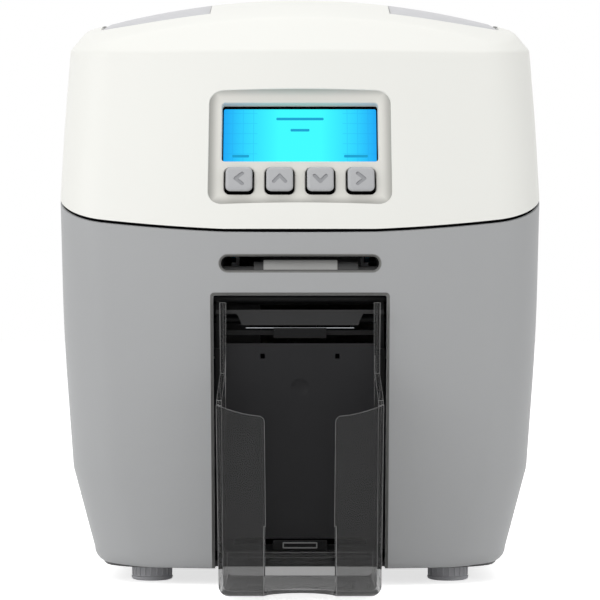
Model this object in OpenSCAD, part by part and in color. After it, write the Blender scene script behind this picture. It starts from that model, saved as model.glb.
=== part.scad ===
/* [Body] */
// Width of the body at the seam
body_w = 204; // [180:1:230]
// Length of the casing from its front face to its rear face
casing_len = 384; // [360:1:440]
// Thickness of the moulded casing walls
wall = 2.6; // [2:0.1:3.5]
// Height of the casing's underside above the table
foot_h = 6.9; // [5:0.1:12]
// Thickness of the base tray's floor
tray_t = 2.5; // [2:0.1:4]
// Half width at the bottom edge of the casing
base_half_w = 86.6; // [80:0.1:92]
// Height of the soft crease round the lower body
crease_z = 47.3; // [35:0.1:70]
// Half width at the crease
crease_half_w = 96.2; // [92:0.1:100]
// Radius of the front face's bow in plan
bow_r = 335; // [280:1:600]
// Radius of the upright front corners in plan
corner_r = 26; // [18:1:34]
// Radius of the upright rear corners in plan
rear_corner_r = 14; // [8:1:24]

/* [Seam] */
// Height of the seam at the middle of the front
seam_z = 146; // [142:0.5:155]
// How far the seam climbs from the front to the rear
seam_rise = 34; // [28:0.5:40]
// Length over which the seam climbs
seam_run = 120; // [90:1:160]
// Open gap along the seam
seam_gap = 1; // [0.6:0.1:1.6]

/* [Lid] */
// Height of the crisp edge where the control face ends
edge_z = 224.6; // [218:0.1:230]
// Half width of the lid at the crisp edge
edge_half_w = 98.7; // [94:0.1:100]
// How far the control face leans back from the seam to the edge
edge_back = 36; // [28:0.1:40]
// Height of the crown of the lid
crown_z = 252.6; // [247:0.1:258]
// Radius of the crown from side to side
crown_r = 490; // [450:1:900]
// Radius of the shoulder where the crown turns down at the front
shoulder_r = 97; // [80:1:110]
// Radius of the shoulder where the crown turns down at the rear
rear_shoulder_r = 130; // [120:1:200]
// Distance behind the front face at which the front shoulder ends
shoulder_end = 98.7; // [90:0.1:110]
// Distance from the rear face at which the rear shoulder starts
rear_shoulder_start = 55; // [45:1:60]
// How far the lid opens, in degrees
lid_open = 80; // [70:1:95]
// Thickness of the grey panel let into the lid's top
inlay_t = 1.2; // [1:0.1:2]
// Half width of the grey top panel
inlay_half_w = 82; // [70:0.5:84]
// Distance of the grey panel's front edge behind the front face
inlay_front = 63; // [60:0.5:80]
// Distance of the grey panel's rear edge from the rear face
inlay_rear = 52; // [44:1:90]
// Half width of the white tab in the grey panel's front edge
inlay_tab_half_w = 39.5; // [25:0.5:50]
// Length of the white tab
inlay_tab_len = 30; // [15:1:50]

/* [Control panel] */
// Width of the recessed control panel
panel_w = 76; // [72:0.5:84]
// Height of the control panel along the slope
panel_h = 54.2; // [50:0.1:58]
// Corner radius of the control panel
panel_r = 5.6; // [3:0.1:8]
// Height of the control panel's middle above the table
panel_z = 182.65; // [179:0.1:187]
// How deep the panel's face lies below the lid's face at the middle
panel_sink = 3.2; // [2.8:0.1:4]
// Width of the display window
lcd_w = 66; // [58:0.5:68]
// Height of the display window along the slope
lcd_h = 27.9; // [24:0.1:29]
// Distance of the window's middle above the panel's middle
lcd_up = 7.2; // [6:0.1:9]
// Width of one push button
button_w = 11.2; // [9:0.1:12]
// Height of one push button along the slope
button_h = 11.1; // [9:0.1:12]
// Distance from one button to the next
button_pitch = 17; // [15.5:0.1:18]
// Distance of the button row below the panel's middle
button_down = 16.1; // [15:0.1:17]
// How far a button can be pressed
button_travel = 0.8; // [0.4:0.1:1]
// Gap round a button in its hole
button_gap = 0.6; // [0.3:0.1:0.8]

/* [Front slot] */
// Height of the hand feed slot's middle
slot_z = 133.3; // [131:0.1:135]
// Width of the hand feed slot
slot_w = 65.2; // [60:0.1:68]
// Height of the hand feed slot
slot_h = 5.4; // [4.5:0.1:6]
// Width of the trim's rim round the slot
slot_rim = 1.15; // [0.8:0.05:1.6]

/* [Hopper] */
// Half width of the front opening at its top
mouth_half_w = 36; // [34.5:0.1:40]
// Height of the front opening's top edge
mouth_z = 120; // [118:0.1:122]
// Width of the step round the opening
mouth_rim = 1.2; // [0.8:0.1:2]
// How far the card tray stands out of the front face
tray_reach = 63; // [50:0.5:80]
// Height of the card tray's underside
tray_z = 2.9; // [1.5:0.1:5]
// Outer half width of the card tray at its top
tray_half_w = 33.2; // [32:0.1:34]
// How much narrower each side of the tray is at its bottom
tray_draft = 1.5; // [0.5:0.1:2]
// Wall of the smoked plastic parts
smoke_t = 2.2; // [1.6:0.1:3]
// Height of the tray's front wall at its outer corners
lip_z = 77.5; // [65:0.5:85]
// How far the lip drops towards the finger gap
lip_drop = 4.4; // [2:0.1:8]
// Half width of the finger gap in the front wall
finger_half_w = 13.8; // [10:0.1:18]
// Height of the guide arms beside the opening
arm_z = 117; // [112:0.1:118]
// Width of a guide arm seen from the front
arm_w = 2.7; // [2:0.1:3.5]
// Width of the sliding hopper door
door_w = 63.2; // [61:0.1:63.4]
// Height of the door's lower edge
door_z = 19; // [18.6:0.1:24]
// Height of the door
door_h = 81.2; // [70:0.1:82]
// Thickness of the door
door_t = 2.6; // [2:0.1:3]
// How far the door slides up
door_travel = 26; // [20:1:27]
// Radius of the finger dimple in the door
dimple_r = 4.2; // [3:0.1:6]

/* [Card path] */
// Width of a card
card_w = 54; // [53.9:0.1:54.1]
// Length of a card
card_l = 85.6; // [85.4:0.1:85.8]
// Height of the card path through the print station
path_z = 130; // [129:0.1:131]
// Radius of the platen and of the transport rollers
roller_r = 7; // [6:0.1:8]
// Radius of the steel shafts
shaft_r = 3; // [2.5:0.1:3.5]
// Distance of the platen behind the front face
platen_y = 150; // [146:0.5:156]
// Teeth of the roller gears
gear_teeth = 24; // [24:2:26]
// Teeth of the idler gears, an odd number
idler_teeth = 21; // [21:2:23]
// Teeth of the motor pinion
pinion_teeth = 12; // [12:1:14]
// Module of the gears
gear_m = 1; // [0.9:0.05:1.05]
// Width of the gears
gear_w = 5; // [4:0.5:6]
// Half distance between the chassis plates
chassis_half_w = 48; // [46:0.5:50]
// Thickness of the chassis plates
chassis_t = 1.5; // [1:0.1:2]
// Running clearance of a shaft in its bearing
run_gap = 0.05; // [0.02:0.01:0.09]
// Clearance between parts that pass each other
gap = 0.3; // [0.2:0.05:0.4]

/* [Ribbon] */
// Radius of the wound film on the supply spool
supply_film_r = 15; // [11:0.5:16]
// Radius of the wound film on the take-up spool
takeup_film_r = 10.5; // [9:0.5:15]
// Distance of each spool from the platen
spool_off = 52; // [50:0.5:56]
// Height of the spools' axes
spool_z = 152; // [150:0.5:154]

/* [Feet and rear] */
// Diameter of a rubber foot
foot_d = 17.4; // [14:0.1:22]
// Distance of a foot from the middle plane
foot_x = 62.6; // [54:0.1:66]
// Distance of the front feet behind the front face
foot_front = 28; // [24:0.5:50]
// Distance of the rear feet from the rear face
foot_rear = 34; // [24:0.5:60]
// Width of the rear connector panel
rear_w = 120; // [110:1:140]
// Height of the rear connector panel
rear_h = 60; // [56:1:70]
// Radius of the hinge knuckles
knuckle_r = 5; // [4:0.1:6]
// Radius of the hinge pins
pin_r = 1.5; // [1.2:0.1:2]
// Distance of the hinge pins from the middle plane
hinge_x = 69; // [60:1:74]

/* [Hidden] */
$fn = 48;
// Places along the depth: the whole printer is centred, so the front face lies at front_y
total_len = tray_reach + casing_len + knuckle_r;
front_y = tray_reach - total_len / 2;
rear_y = front_y + casing_len;
// Heights
floor_z = foot_h + tray_t;
seam_top = seam_z + seam_rise;
hinge_z = seam_top + seam_gap / 2;
// Steps of the lofted shells
bow_steps = 12;
corner_steps = 7;
side_steps = 10;
rear_steps = 5;
// Bevel between the lid's crisp edge and its crown: slopes per millimetre of height
bevel_front = 1;
bevel_side = 0.57;
// Soft curve at the foot of the casing
foot_round = 1.8;
// Control face: its lean from the vertical and the middle of the panel
lean = atan(edge_back / (edge_z - seam_z));
panel_y = front_y + (panel_z - seam_z) * tan(lean);
// Card path places
platen_yy = front_y + platen_y;
axis_z = path_z - roller_r;
gear_r = gear_teeth * gear_m / 2;
idler_r = idler_teeth * gear_m / 2;
pinion_r = pinion_teeth * gear_m / 2;
mesh_gap = 0.06;
idler_off = gear_r + idler_r + mesh_gap;
transport_off = 2 * idler_off;
motor_z = axis_z - idler_r - pinion_r - mesh_gap;
gear_x = -chassis_half_w - chassis_t - 1 - gear_w;
deck_z = 138;
deck_t = 2;

// Height of the seam at a distance behind the front face
function seam_at(y) = let(t = min(1, max(0, (y - front_y - 1.5) / (seam_run - 1.5))))
    seam_z + seam_rise * (1 - pow(1 - t, 1.65));

// Right half of a plan outline with a bowed front and round corners, front to rear
function half_ring(w, yf, yr, rb, rc, rr) =
    let(a = asin((w - rc) / (rb - rc)), yc = yf + rb - (rb - rc) * cos(a), ys = yr - rr)
    concat(
        [for (i = [1:bow_steps]) let(t = a * i / bow_steps) [rb * sin(t), yf + rb - rb * cos(t)]],
        [for (i = [1:corner_steps]) let(t = a + (90 - a) * i / corner_steps)
            [w - rc + rc * sin(t), yc - rc * cos(t)]],
        [for (i = [1:side_steps]) [w, yc + (ys - yc) * pow(i / (side_steps + 1), 1.4)]],
        [for (i = [0:rear_steps]) let(t = 90 * i / rear_steps)
            [w - rr + rr * cos(t), ys + rr * sin(t)]]
    );

// Whole plan outline, counter-clockwise from the middle of the front
function ring(w, yf, yr, rb, rc, rr) =
    let(h = half_ring(w, yf, yr, rb, rc, rr), n = len(h))
    concat([[0, yf]], h, [[0, yr]], [for (i = [n - 1:-1:0]) [-h[i][0], h[i][1]]]);

// Casing outline with half width w, drawn in by o on every side
function case_ring(w, o) =
    ring(w - o, front_y + o, rear_y - o, bow_r - o, corner_r - o, rear_corner_r - o);
// Outline of the lid at its crisp edge and, s higher up, on its bevel
function edge_ring(s, o) =
    ring(edge_half_w - bevel_side * s - o, front_y + edge_back + bevel_front * s + o,
        rear_y - 4 - bevel_side * s - o, bow_r - o, corner_r - o, rear_corner_r - o);
// Crown of the lid: a shallow arch with a round shoulder at the front and at the rear
function crown_at(x, y) =
    let(f = max(0, front_y + shoulder_end - y), b = max(0, y - rear_y + rear_shoulder_start))
    crown_z - x * x / (2 * crown_r)
    - (shoulder_r - sqrt(max(0, shoulder_r * shoulder_r - f * f)))
    - (rear_shoulder_r - sqrt(max(0, rear_shoulder_r * rear_shoulder_r - b * b)));

function at_z(r, z) = [for (p = r) [p[0], p[1], z]];
function on_seam(r, dz) = [for (p = r) [p[0], p[1], seam_at(p[1]) + dz]];
// Height on the bevel at which it meets the crown, found by stepping
function bevel_top(p, d, o, s, n) = n == 0 ? s
    : bevel_top(p, d, o, crown_at(p[0] + d[0] * s, p[1] + d[1] * s) - o - edge_z + o / 2, n - 1);
function top_ring(o) =
    let(r0 = edge_ring(0, o), r1 = edge_ring(20, o))
    [for (i = [0:len(r0) - 1])
        let(d = (r1[i] - r0[i]) / 20, s = bevel_top(r0[i], d, o, 15, 8), p = r0[i] + d * s)
        [p[0], p[1], edge_z - o / 2 + s]];
// Rings across the crown, each a smaller copy of the top ring
crown_mid = [0, (front_y + rear_y) / 2 + 20];
function crown_ring(t, k, o) =
    [for (p = t) let(x = p[0] * k, y = crown_mid[1] + (p[1] - crown_mid[1]) * k)
        [x, y, crown_at(x, y) - o]];
crown_steps = [0.94, 0.87, 0.79, 0.7, 0.5, 0.25];

function band(r, q, n) = [for (i = [0:n - 1]) let(j = (i + 1) % n)
    each [[r * n + i, q * n + j, r * n + j], [r * n + i, q * n + i, q * n + j]]];

// Closed tube of rings: the last ring joins the first
module ring_tube(rings) {
    n = len(rings[0]);
    m = len(rings);
    polyhedron([for (r = rings) each r], [for (r = [0:m - 1]) each band(r, (r + 1) % m, n)], 10);
}

// Bowl of rings between two poles: first from the outer pole down, then up inside
module ring_bowl(rings, pole_out, pole_in) {
    n = len(rings[0]);
    m = len(rings);
    c = n * m;
    polyhedron(
        concat([for (r = rings) each r], [pole_out, pole_in]),
        concat(
            [for (r = [0:m - 2]) each band(r + 1, r, n)],
            [for (i = [0:n - 1]) [c, (i + 1) % n, i]],
            [for (i = [0:n - 1]) [c + 1, (m - 1) * n + i, (m - 1) * n + (i + 1) % n]]
        ), 10);
}

module round_rect(w, h, r) {
    union() {
        square([w - 2 * r, h], center = true);
        square([w, h - 2 * r], center = true);
        for (x = [-1, 1], y = [-1, 1])
            translate([x * (w / 2 - r), y * (h / 2 - r)]) circle(r);
    }
}
// Children stand on the sloping control face: x across, y up the slope, z outwards
module on_panel() { translate([0, panel_y, panel_z]) rotate([90 - lean, 0, 0]) children(); }
// A profile in the plane of width and height, pushed back along the depth from y0 by len
module across(y0, len) { translate([0, y0 + len, 0]) rotate([90, 0, 0]) linear_extrude(len) children(); }
// A profile in the plane of depth and height, pushed along the width from x0 by len
module sideways(x0, len) {
    translate([x0, 0, 0]) rotate([90, 0, 90]) linear_extrude(len) children();
}
// A round bar along the width
module bar(x0, len, y, z, r) { translate([x0, y, z]) rotate([0, 90, 0]) cylinder(h = len, r = r); }

// ---- casing ----
module mouth_profile(extra) {
    polygon([
        [-mouth_half_w - extra, mouth_z + extra], [-mouth_half_w + 0.9 - extra, -5],
        [mouth_half_w - 0.9 + extra, -5], [mouth_half_w + extra, mouth_z + extra]
    ]);
}

module base_tray() color("#2b2b2d") {
    difference() {
        translate([0, 0, foot_h]) linear_extrude(tray_t)
            polygon(case_ring(base_half_w - foot_round, 1.6));
        across(front_y - 5, 17) mouth_profile(0);
        for (x = [-1, 1], y = [front_y + foot_front, rear_y - foot_rear])
            translate([x * foot_x, y, 0]) cylinder(h = 40, r = 2);
        for (x = [-50:10:50]) translate([x, front_y + 210, 0]) cube([4, 60, 40], center = true);
    }
    // Bosses that carry the chassis plates
    for (x = [-1, 1], y = [60, 250])
        translate([x * (chassis_half_w + chassis_t / 2) - 4, front_y + y, floor_z - 0.5]) cube([8, 16, 5.5]);
    // Pillars that carry the deck
    for (x = [-1, 1], y = [50, 200])
        translate([x * 76, front_y + y, floor_z - 0.5]) cylinder(h = deck_z - floor_z + 0.5, r = 4);
}

module knuckle(x0, len) { bar(x0, len, rear_y, hinge_z, knuckle_r); }

module lower_housing() color("#a7a7ab") {
    n = wall;
    outer = [
        at_z(case_ring(base_half_w - foot_round, 0.8), floor_z),
        at_z(case_ring(base_half_w - 0.5, 0.2), floor_z + 1),
        at_z(case_ring(base_half_w, 0), floor_z + foot_round),
        at_z(case_ring(crease_half_w, 0), crease_z),
        on_seam(case_ring(body_w / 2, 0), 0)
    ];
    inner = [
        on_seam(case_ring(body_w / 2, n), 0),
        at_z(case_ring(crease_half_w, n), crease_z),
        at_z(case_ring(base_half_w, n), floor_z + foot_round),
        at_z(case_ring(base_half_w - foot_round, n), floor_z)
    ];
    difference() {
        union() {
            difference() {
                ring_tube(concat(outer, inner));
                across(front_y - 5, 17) mouth_profile(0);
                // Stepped rim round the mouth and round the slot, following the bow of the face
                difference() {
                    union() {
                        across(front_y - 5, 12) mouth_profile(mouth_rim);
                        across(front_y - 5, 12) translate([0, slot_z])
                            round_rect(slot_w + 2 * slot_rim, slot_h + 2 * slot_rim, slot_h / 2);
                    }
                    translate([0, front_y + bow_r, -10]) cylinder(h = 300, r = bow_r - 1, $fn = 400);
                }
                across(front_y - 5, 17) translate([0, slot_z])
                    round_rect(slot_w + 2 * slot_rim, slot_h + 2 * slot_rim, slot_h / 2);
                translate([-rear_w / 2, rear_y - 10, floor_z + 12]) cube([rear_w, 20, rear_h]);
                for (i = [-1, 1]) bar_notch(i * hinge_x, 18.6);
            }
            for (i = [-1, 1], k = [-1, 1]) knuckle(i * hinge_x + k * 14.5 - 5, 10);
        }
        for (i = [-1, 1]) bar(i * hinge_x - 20, 40, rear_y, hinge_z, pin_r + 0.02);
    }
}

// Room for a hinge knuckle in the other shell
module bar_notch(x, len) { bar(x - len / 2, len, rear_y, hinge_z, knuckle_r + 0.6); }

module rear_panel() color("#3a3a3d") difference() {
    union() {
        translate([-rear_w / 2 + gap, rear_y - wall, floor_z + 12 + gap])
            cube([rear_w - 2 * gap, 2, rear_h - 2 * gap]);
        translate([-rear_w / 2 - 4, rear_y - wall - 2.3, floor_z + 8]) cube([rear_w + 8, 2, rear_h + 8]);
        translate([-rear_w / 2 + 1, rear_y - wall - 1, floor_z + 13]) cube([rear_w - 2, 2, rear_h - 2]);
    }
    translate([-48, rear_y - 20, 34]) cube([28, 40, 20]);
    translate([4, rear_y - 20, 34]) cube([12.6, 40, 11.6]);
    translate([24, rear_y - 20, 33]) cube([16.6, 40, 14.6]);
    for (i = [0:5]) translate([-40 + 14 * i, rear_y - 20, 64]) cube([8, 40, 3]);
}

module crown_slab(t, up, inset) {
    intersection() {
        ring_bowl_slab(t, up);
        linear_extrude(400) inlay_outline(inset);
    }
}

// Plate that follows the crown, t thick below it and up above it
module ring_bowl_slab(t, up) {
    r = case_ring(body_w / 2, 2);
    tops = [for (k = concat([1], crown_steps)) crown_ring(r, k, -up)];
    lows = [for (k = concat([1], crown_steps)) crown_ring(r, k, t)];
    m = len(tops);
    rings = concat([for (i = [m - 1:-1:0]) tops[i]], lows);
    c = crown_at(0, crown_mid[1]);
    ring_bowl(rings, [0, crown_mid[1], c + up], [0, crown_mid[1], c - t]);
}

module inlay_outline(inset) {
    y0 = front_y + inlay_front;
    y1 = rear_y - inlay_rear;
    w = inlay_half_w - inset;
    difference() {
        polygon(concat(
            [for (i = [-16:16]) let(x = w * i / 16) [x, y0 + inset + 26 * pow(abs(i / 16), 2.6)]],
            [for (i = [16:-1:-16]) let(x = w * i / 16) [x, y1 - inset - 26 * pow(abs(i / 16), 2.6)]]
        ));
        translate([0, y0 + inlay_tab_len / 2 - 5 + inset])
            round_rect(2 * (inlay_tab_half_w + inset), inlay_tab_len + 10, 5);
    }
}

module lid() color("#f2f2ee") {
    t0 = top_ring(0);
    t1 = top_ring(wall);
    outer = concat(
        [for (i = [len(crown_steps) - 1:-1:0]) crown_ring(t0, crown_steps[i], 0)],
        [t0, at_z(edge_ring(0, 0), edge_z), on_seam(case_ring(body_w / 2, 0), seam_gap)]
    );
    inner = concat(
        [on_seam(case_ring(body_w / 2, wall), seam_gap), at_z(edge_ring(0, wall), edge_z - wall / 2), t1],
        [for (k = crown_steps) crown_ring(t1, k, wall)]
    );
    c = crown_at(0, crown_mid[1]);
    difference() {
        union() {
            difference() {
                ring_bowl(concat(outer, inner), [0, crown_mid[1], c], [0, crown_mid[1], c - wall]);
                crown_slab(inlay_t + 0.1, 5, -0.15);
                on_panel() translate([0, 0, -12]) linear_extrude(24)
                    round_rect(panel_w + 2 * gap, panel_h + 2 * gap, panel_r + gap);
                for (i = [-1, 1], k = [-1, 1]) bar_notch(i * hinge_x + k * 14.5, 10.4);
            }
            for (i = [-1, 1]) knuckle(i * hinge_x - 9, 18);
            for (x = [-1, 1]) on_panel() for (v = [-1, 1])
                translate([x * 45, v * 20, -9]) cylinder(h = 6, r = 3);
        }
        for (i = [-1, 1]) bar(i * hinge_x - 9.4, 18.8, rear_y, hinge_z, pin_r + run_gap);
    }
}

module lid_inlay() color("#c9c9cc") crown_slab(inlay_t, 0, 0);

module hinge_pins() color("#b9bcc0") for (i = [-1, 1]) bar(i * hinge_x - 19.4, 38.8, rear_y, hinge_z, pin_r);

// ---- control panel, in the lid ----
bezel_back = 4;
button_hole_w = button_w + 2 * button_gap;
button_hole_h = button_h + 2 * button_gap;
board_n = -panel_sink - 7.6;
board_t = 1.6;
button_names = [-1.5, -0.5, 0.5, 1.5];

module panel_plate(n0, n1) { translate([0, 0, n0]) linear_extrude(n1 - n0) children(); }

module control_bezel() color("#d6d5d1") on_panel() difference() {
    union() {
        panel_plate(-panel_sink - bezel_back, -panel_sink) round_rect(panel_w, panel_h, panel_r);
        panel_plate(-panel_sink - bezel_back, -panel_sink - bezel_back + 1.6)
            round_rect(panel_w + 6, panel_h + 4, panel_r + 1);
        // Posts for the control board, and ears that are screwed to the lid
        for (x = [-1, 1], v = [-1, 1])
            translate([x * (panel_w / 2 - 1), v * (panel_h / 2 - 4), board_n])
                cylinder(h = -panel_sink - bezel_back - board_n + 0.5, r = 2.2);
    }
    panel_plate(-30, 5) translate([0, lcd_up]) round_rect(lcd_w, lcd_h, 1.5);
    for (i = button_names) panel_plate(-30, 5)
        translate([i * button_pitch, -button_down]) round_rect(button_hole_w, button_hole_h, 2.4);
}

module lcd_glass() color("#4ad8fa") on_panel() panel_plate(-panel_sink - 3.6, -panel_sink - 2)
    translate([0, lcd_up]) round_rect(lcd_w - 2 * gap, lcd_h - 2 * gap, 1.2);

module lcd_module() color("#20303a") on_panel() {
    panel_plate(-panel_sink - 6.6, -panel_sink - bezel_back - 0.1)
        translate([0, lcd_up]) square([lcd_w + 4, lcd_h + 3], center = true);
    panel_plate(-panel_sink - bezel_back - 0.5, -panel_sink - 3.6)
        translate([0, lcd_up]) square([lcd_w - 1, lcd_h - 1], center = true);
}

module control_board() color("#1f6b3a") on_panel() {
    panel_plate(board_n - board_t, board_n) square([panel_w + 4, panel_h - 2], center = true);
    // Dome switches under the buttons
    for (i = button_names) translate([i * button_pitch, -button_down, board_n - 0.1])
        cylinder(h = 0.7, r = 3);
}

// Engraved chevron, pointing along +x
module chevron() {
    for (s = [-1, 1]) translate([1.5, 0]) rotate(s * 135) translate([-0.45, -0.45]) square([4.4, 0.9]);
}

module push_button(i, turn) color("#acadaf") on_panel() translate([i * button_pitch, -button_down, 0])
    difference() {
        union() {
            translate([0, 0, board_n + 1.5]) linear_extrude(-panel_sink + 1.6 - board_n - 1.5)
                round_rect(button_w, button_h, 2.2);
            translate([0, 0, board_n + 1.5]) linear_extrude(1.4)
                round_rect(button_w + 2.6, button_h + 2.6, 3);
        }
        translate([0, 0, -panel_sink + 1.2]) linear_extrude(5) rotate(turn) chevron();
    }
module button_left() push_button(button_names[0], 180);
module button_up() push_button(button_names[1], 90);
module button_down() push_button(button_names[2], -90);
module button_right() push_button(button_names[3], 0);

// ---- front slot ----
module slot_trim() color("#1a1a1c") difference() {
    union() {
        across(front_y + 1.2, 1.5) translate([0, slot_z])
            round_rect(slot_w + 2 * slot_rim - 0.3, slot_h + 2 * slot_rim - 0.3, slot_h / 2);
        across(front_y + 5, 2) translate([0, slot_z])
            round_rect(slot_w + 8, slot_h + 4, slot_h / 2);
        across(front_y + 2, 3.5) translate([0, slot_z])
            round_rect(slot_w + 2 * slot_rim - 0.3, slot_h + 2 * slot_rim - 0.3, slot_h / 2);
    }
    across(front_y - 2, 14) translate([0, slot_z]) round_rect(slot_w, slot_h, slot_h / 2);
}
entry_y = front_y + 11.5;
entry_z = slot_z - 2.7;
entry_r = 3.4;
module entry_roller() color("#c4c6c6") {
    bar(-15.5, 31, entry_y, entry_z, entry_r);
    bar(-24, 48, entry_y, entry_z, entry_r - 0.4);
    bar(-35.5, 71, entry_y, entry_z, 1.6);
}
module entry_roller_bracket() color("#303033") difference() {
    for (s = [-1, 1]) translate([s * 33.5 - 1.5, entry_y - 3.5, entry_z - 4]) cube([3, 30, deck_z - entry_z + 4]);
    translate([0, entry_y, entry_z]) rotate([0, 90, 0]) translate([0, 0, -50]) cylinder(h = 100, r = 1.6 + run_gap);
}

// ---- hopper ----
module tray_profile(o) {
    h = arm_z - tray_z;
    d = tray_draft * 1.5;
    hull() {
        translate([-tray_half_w + o, arm_z - 1]) square([2 * tray_half_w - 2 * o, 1]);
        for (s = [-1, 1]) translate([s * (tray_half_w - d - 4.3), tray_z + 4.3])
            circle(r = 4.3 - min(o, 2.2));
    }
}
web_t = 1;
module card_tray() color("#26262a") {
    difference() {
        intersection() {
            across(front_y - tray_reach, tray_reach + 7.8) tray_profile(0);
            sideways(-50, 100) polygon([
                [front_y - tray_reach, tray_z - 1], [front_y + 1, tray_z - 1], [front_y + 1, door_z - 5],
                [front_y + 7.8, door_z - 5], [front_y + 7.8, arm_z], [front_y - 3, arm_z],
                [front_y - 3, 92], [front_y - 6, 88], [front_y - tray_reach, lip_z]
            ]);
        }
        // Room for the cards, and for the door between the arms and their webs
        across(front_y - tray_reach + smoke_t, tray_reach - smoke_t - 3) tray_profile(smoke_t);
        translate([-tray_half_w + arm_w, front_y - 3.5, door_z - 4.7])
            cube([2 * (tray_half_w - arm_w), 20, 120]);
        translate([-door_w / 2 - 0.3, front_y + 4.1, door_z - 0.3]) cube([door_w + 0.6, 10, 120]);
        // Lip that drops to the finger gap
        across(front_y - tray_reach - 5, 12) polygon([
            [-tray_half_w - 1, lip_z + 0.3], [-finger_half_w - 2, lip_z - lip_drop],
            [finger_half_w + 2, lip_z - lip_drop], [tray_half_w + 1, lip_z + 0.3],
            [tray_half_w + 1, lip_z + 30], [-tray_half_w - 1, lip_z + 30]
        ]);
        across(front_y - tray_reach - 5, 12) polygon([
            [-finger_half_w, 130], [-finger_half_w + 0.7, tray_z + 1.8],
            [finger_half_w - 0.7, tray_z + 1.8], [finger_half_w, 130]
        ]);
        // Finger notch in the floor
        translate([0, front_y - tray_reach - 13, -5]) cylinder(h = 30, r = 20);
    }
    // Ramp on the floor on which the cards stand
    for (x = [-27, -9, 7.5, 25.5]) sideways(x, 1.5) polygon([
        [front_y - tray_reach + 9, tray_z + 1.5], [front_y - 0.5, tray_z + 1.5],
        [front_y - 0.5, door_z - 5.5], [front_y - tray_reach + 9, tray_z + 3.5]
    ]);
}
door_y = front_y + 4.4;
module hopper_door() color("#303033") difference() {
    across(door_y, door_t) translate([-door_w / 2, door_z]) square([door_w, door_h]);
    translate([0, door_y - 2.4, door_z + door_h - 18.3]) sphere(r = dimple_r + 0.4);
    for (s = [-1, 1]) translate([s * 15.5 - 1.5, door_y - 1, door_z + door_h - 6.2]) cube([3, 10, 1.6]);
    across(door_y - 1, 1.5) polygon([
        [-9, door_z + 18], [9, door_z + 18], [10.6, door_z + 1], [-10.6, door_z + 1]
    ]);
}
module hopper_latch() color("#55565a") {
    across(door_y, 3.3) translate([-11.4, door_z - 4.6]) square([22.8, 4.2]);
    across(front_y + 3.2, 2) translate([-7.2, door_z - 3.6]) square([14.4, 2.4]);
}
mag_y = front_y + 8;
mag_z = door_z - 5;
mag_half_w = card_w / 2 + 0.6;
module card_magazine() color("#232326") difference() {
    union() {
        for (s = [-1, 1]) translate([s * (mag_half_w + 1) - 1, mag_y, mag_z]) cube([2, card_l + 4, 84]);
        translate([-mag_half_w - 1, mag_y, mag_z]) cube([2 * mag_half_w + 2, card_l + 4, 2.5]);
        translate([-mag_half_w - 1, mag_y + card_l + 1.5, mag_z + 5]) cube([2 * mag_half_w + 2, 2.5, 79]);
        for (s = [-1, 1]) translate([s * 31.5 - 4, mag_y, mag_z]) cube([8, 2, 84]);
        // Legs on the base tray, and ears for the pick roller's shaft
        for (s = [-1, 1], y = [6, 70]) translate([s * 25 - 3, mag_y + y, floor_z]) cube([6, 10, mag_z - floor_z + 1]);
        for (s = [-1, 1]) translate([s * 32 - 2, mag_y + 34, floor_z]) cube([4, 12, mag_z - floor_z + 6]);
    }
    for (s = [-1, 1]) translate([s * 12 - 5, mag_y + 32, mag_z - 1]) cube([10, 16, 6]);
    bar(-60, 120, mag_y + 40, mag_z - 1.2, 1.5 + run_gap);
}
module pick_roller() color("#48484c") {
    for (s = [-1, 1]) bar(s * 12 - 4, 8, mag_y + 40, mag_z - 1.2 + 0, 3.2);
    bar(-36, 72, mag_y + 40, mag_z - 1.2, 1.5);
}
exit_y = front_y + 17;
module exit_roller() color("#3c3c40") {
    for (s = [-1, 1]) bar(s * 14 - 7, 14, exit_y, 110, 3.8);
    bar(-36, 72, exit_y, 110, 1.8);
}
module exit_bracket() color("#3a3a3d") difference() {
    union() {
        for (s = [-1, 1]) translate([s * 33.5 - 1.5, exit_y - 5, mag_z + 84]) cube([3, 12, 30]);
        translate([-35, exit_y - 6, 103.5]) cube([70, 3, 2]);
        translate([-11, exit_y - 8.5, 102.3]) cube([22, 3, 4.2]);
    }
    bar(-60, 120, exit_y, 110, 1.8 + run_gap);
    bar(-60, 120, rod_places[0][0], rod_places[0][1], rod_r + run_gap);
    translate([0, entry_y + 5, 0]) translate([-50, -50, entry_z - 4.3]) cube([100, 100, 60]);
}

// ---- card path ----
// One involute gear profile: z teeth, the first one on the +x axis turned by a
pressure = 20;
backlash = 0.12;
function inv(a) = tan(a) * 180 / PI - a;
function flank(z, r) = // half tooth angle at radius r
    let(rb = z * gear_m / 2 * cos(pressure), a = acos(min(1, rb / r)))
    90 / z + inv(pressure) - inv(a) - backlash / (z * gear_m) * 180 / PI;
module gear_profile(z, a) {
    rp = z * gear_m / 2;
    rb = rp * cos(pressure);
    r0 = rp - 1.25 * gear_m;
    r1 = rp + 0.92 * gear_m;
    radii = [max(rb, r0), rp - 0.3 * gear_m, rp, rp + 0.5 * gear_m, r1];
    polygon([for (k = [0:z - 1]) let(c = a + 360 * k / z) each concat(
        [r0 * [cos(c - flank(z, radii[0])), sin(c - flank(z, radii[0]))]],
        [for (r = radii) r * [cos(c - flank(z, r)), sin(c - flank(z, r))]],
        [for (i = [4:-1:0]) radii[i] * [cos(c + flank(z, radii[i])), sin(c + flank(z, radii[i]))]],
        [r0 * [cos(c + flank(z, radii[0])), sin(c + flank(z, radii[0]))]]
    )]);
}
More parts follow.
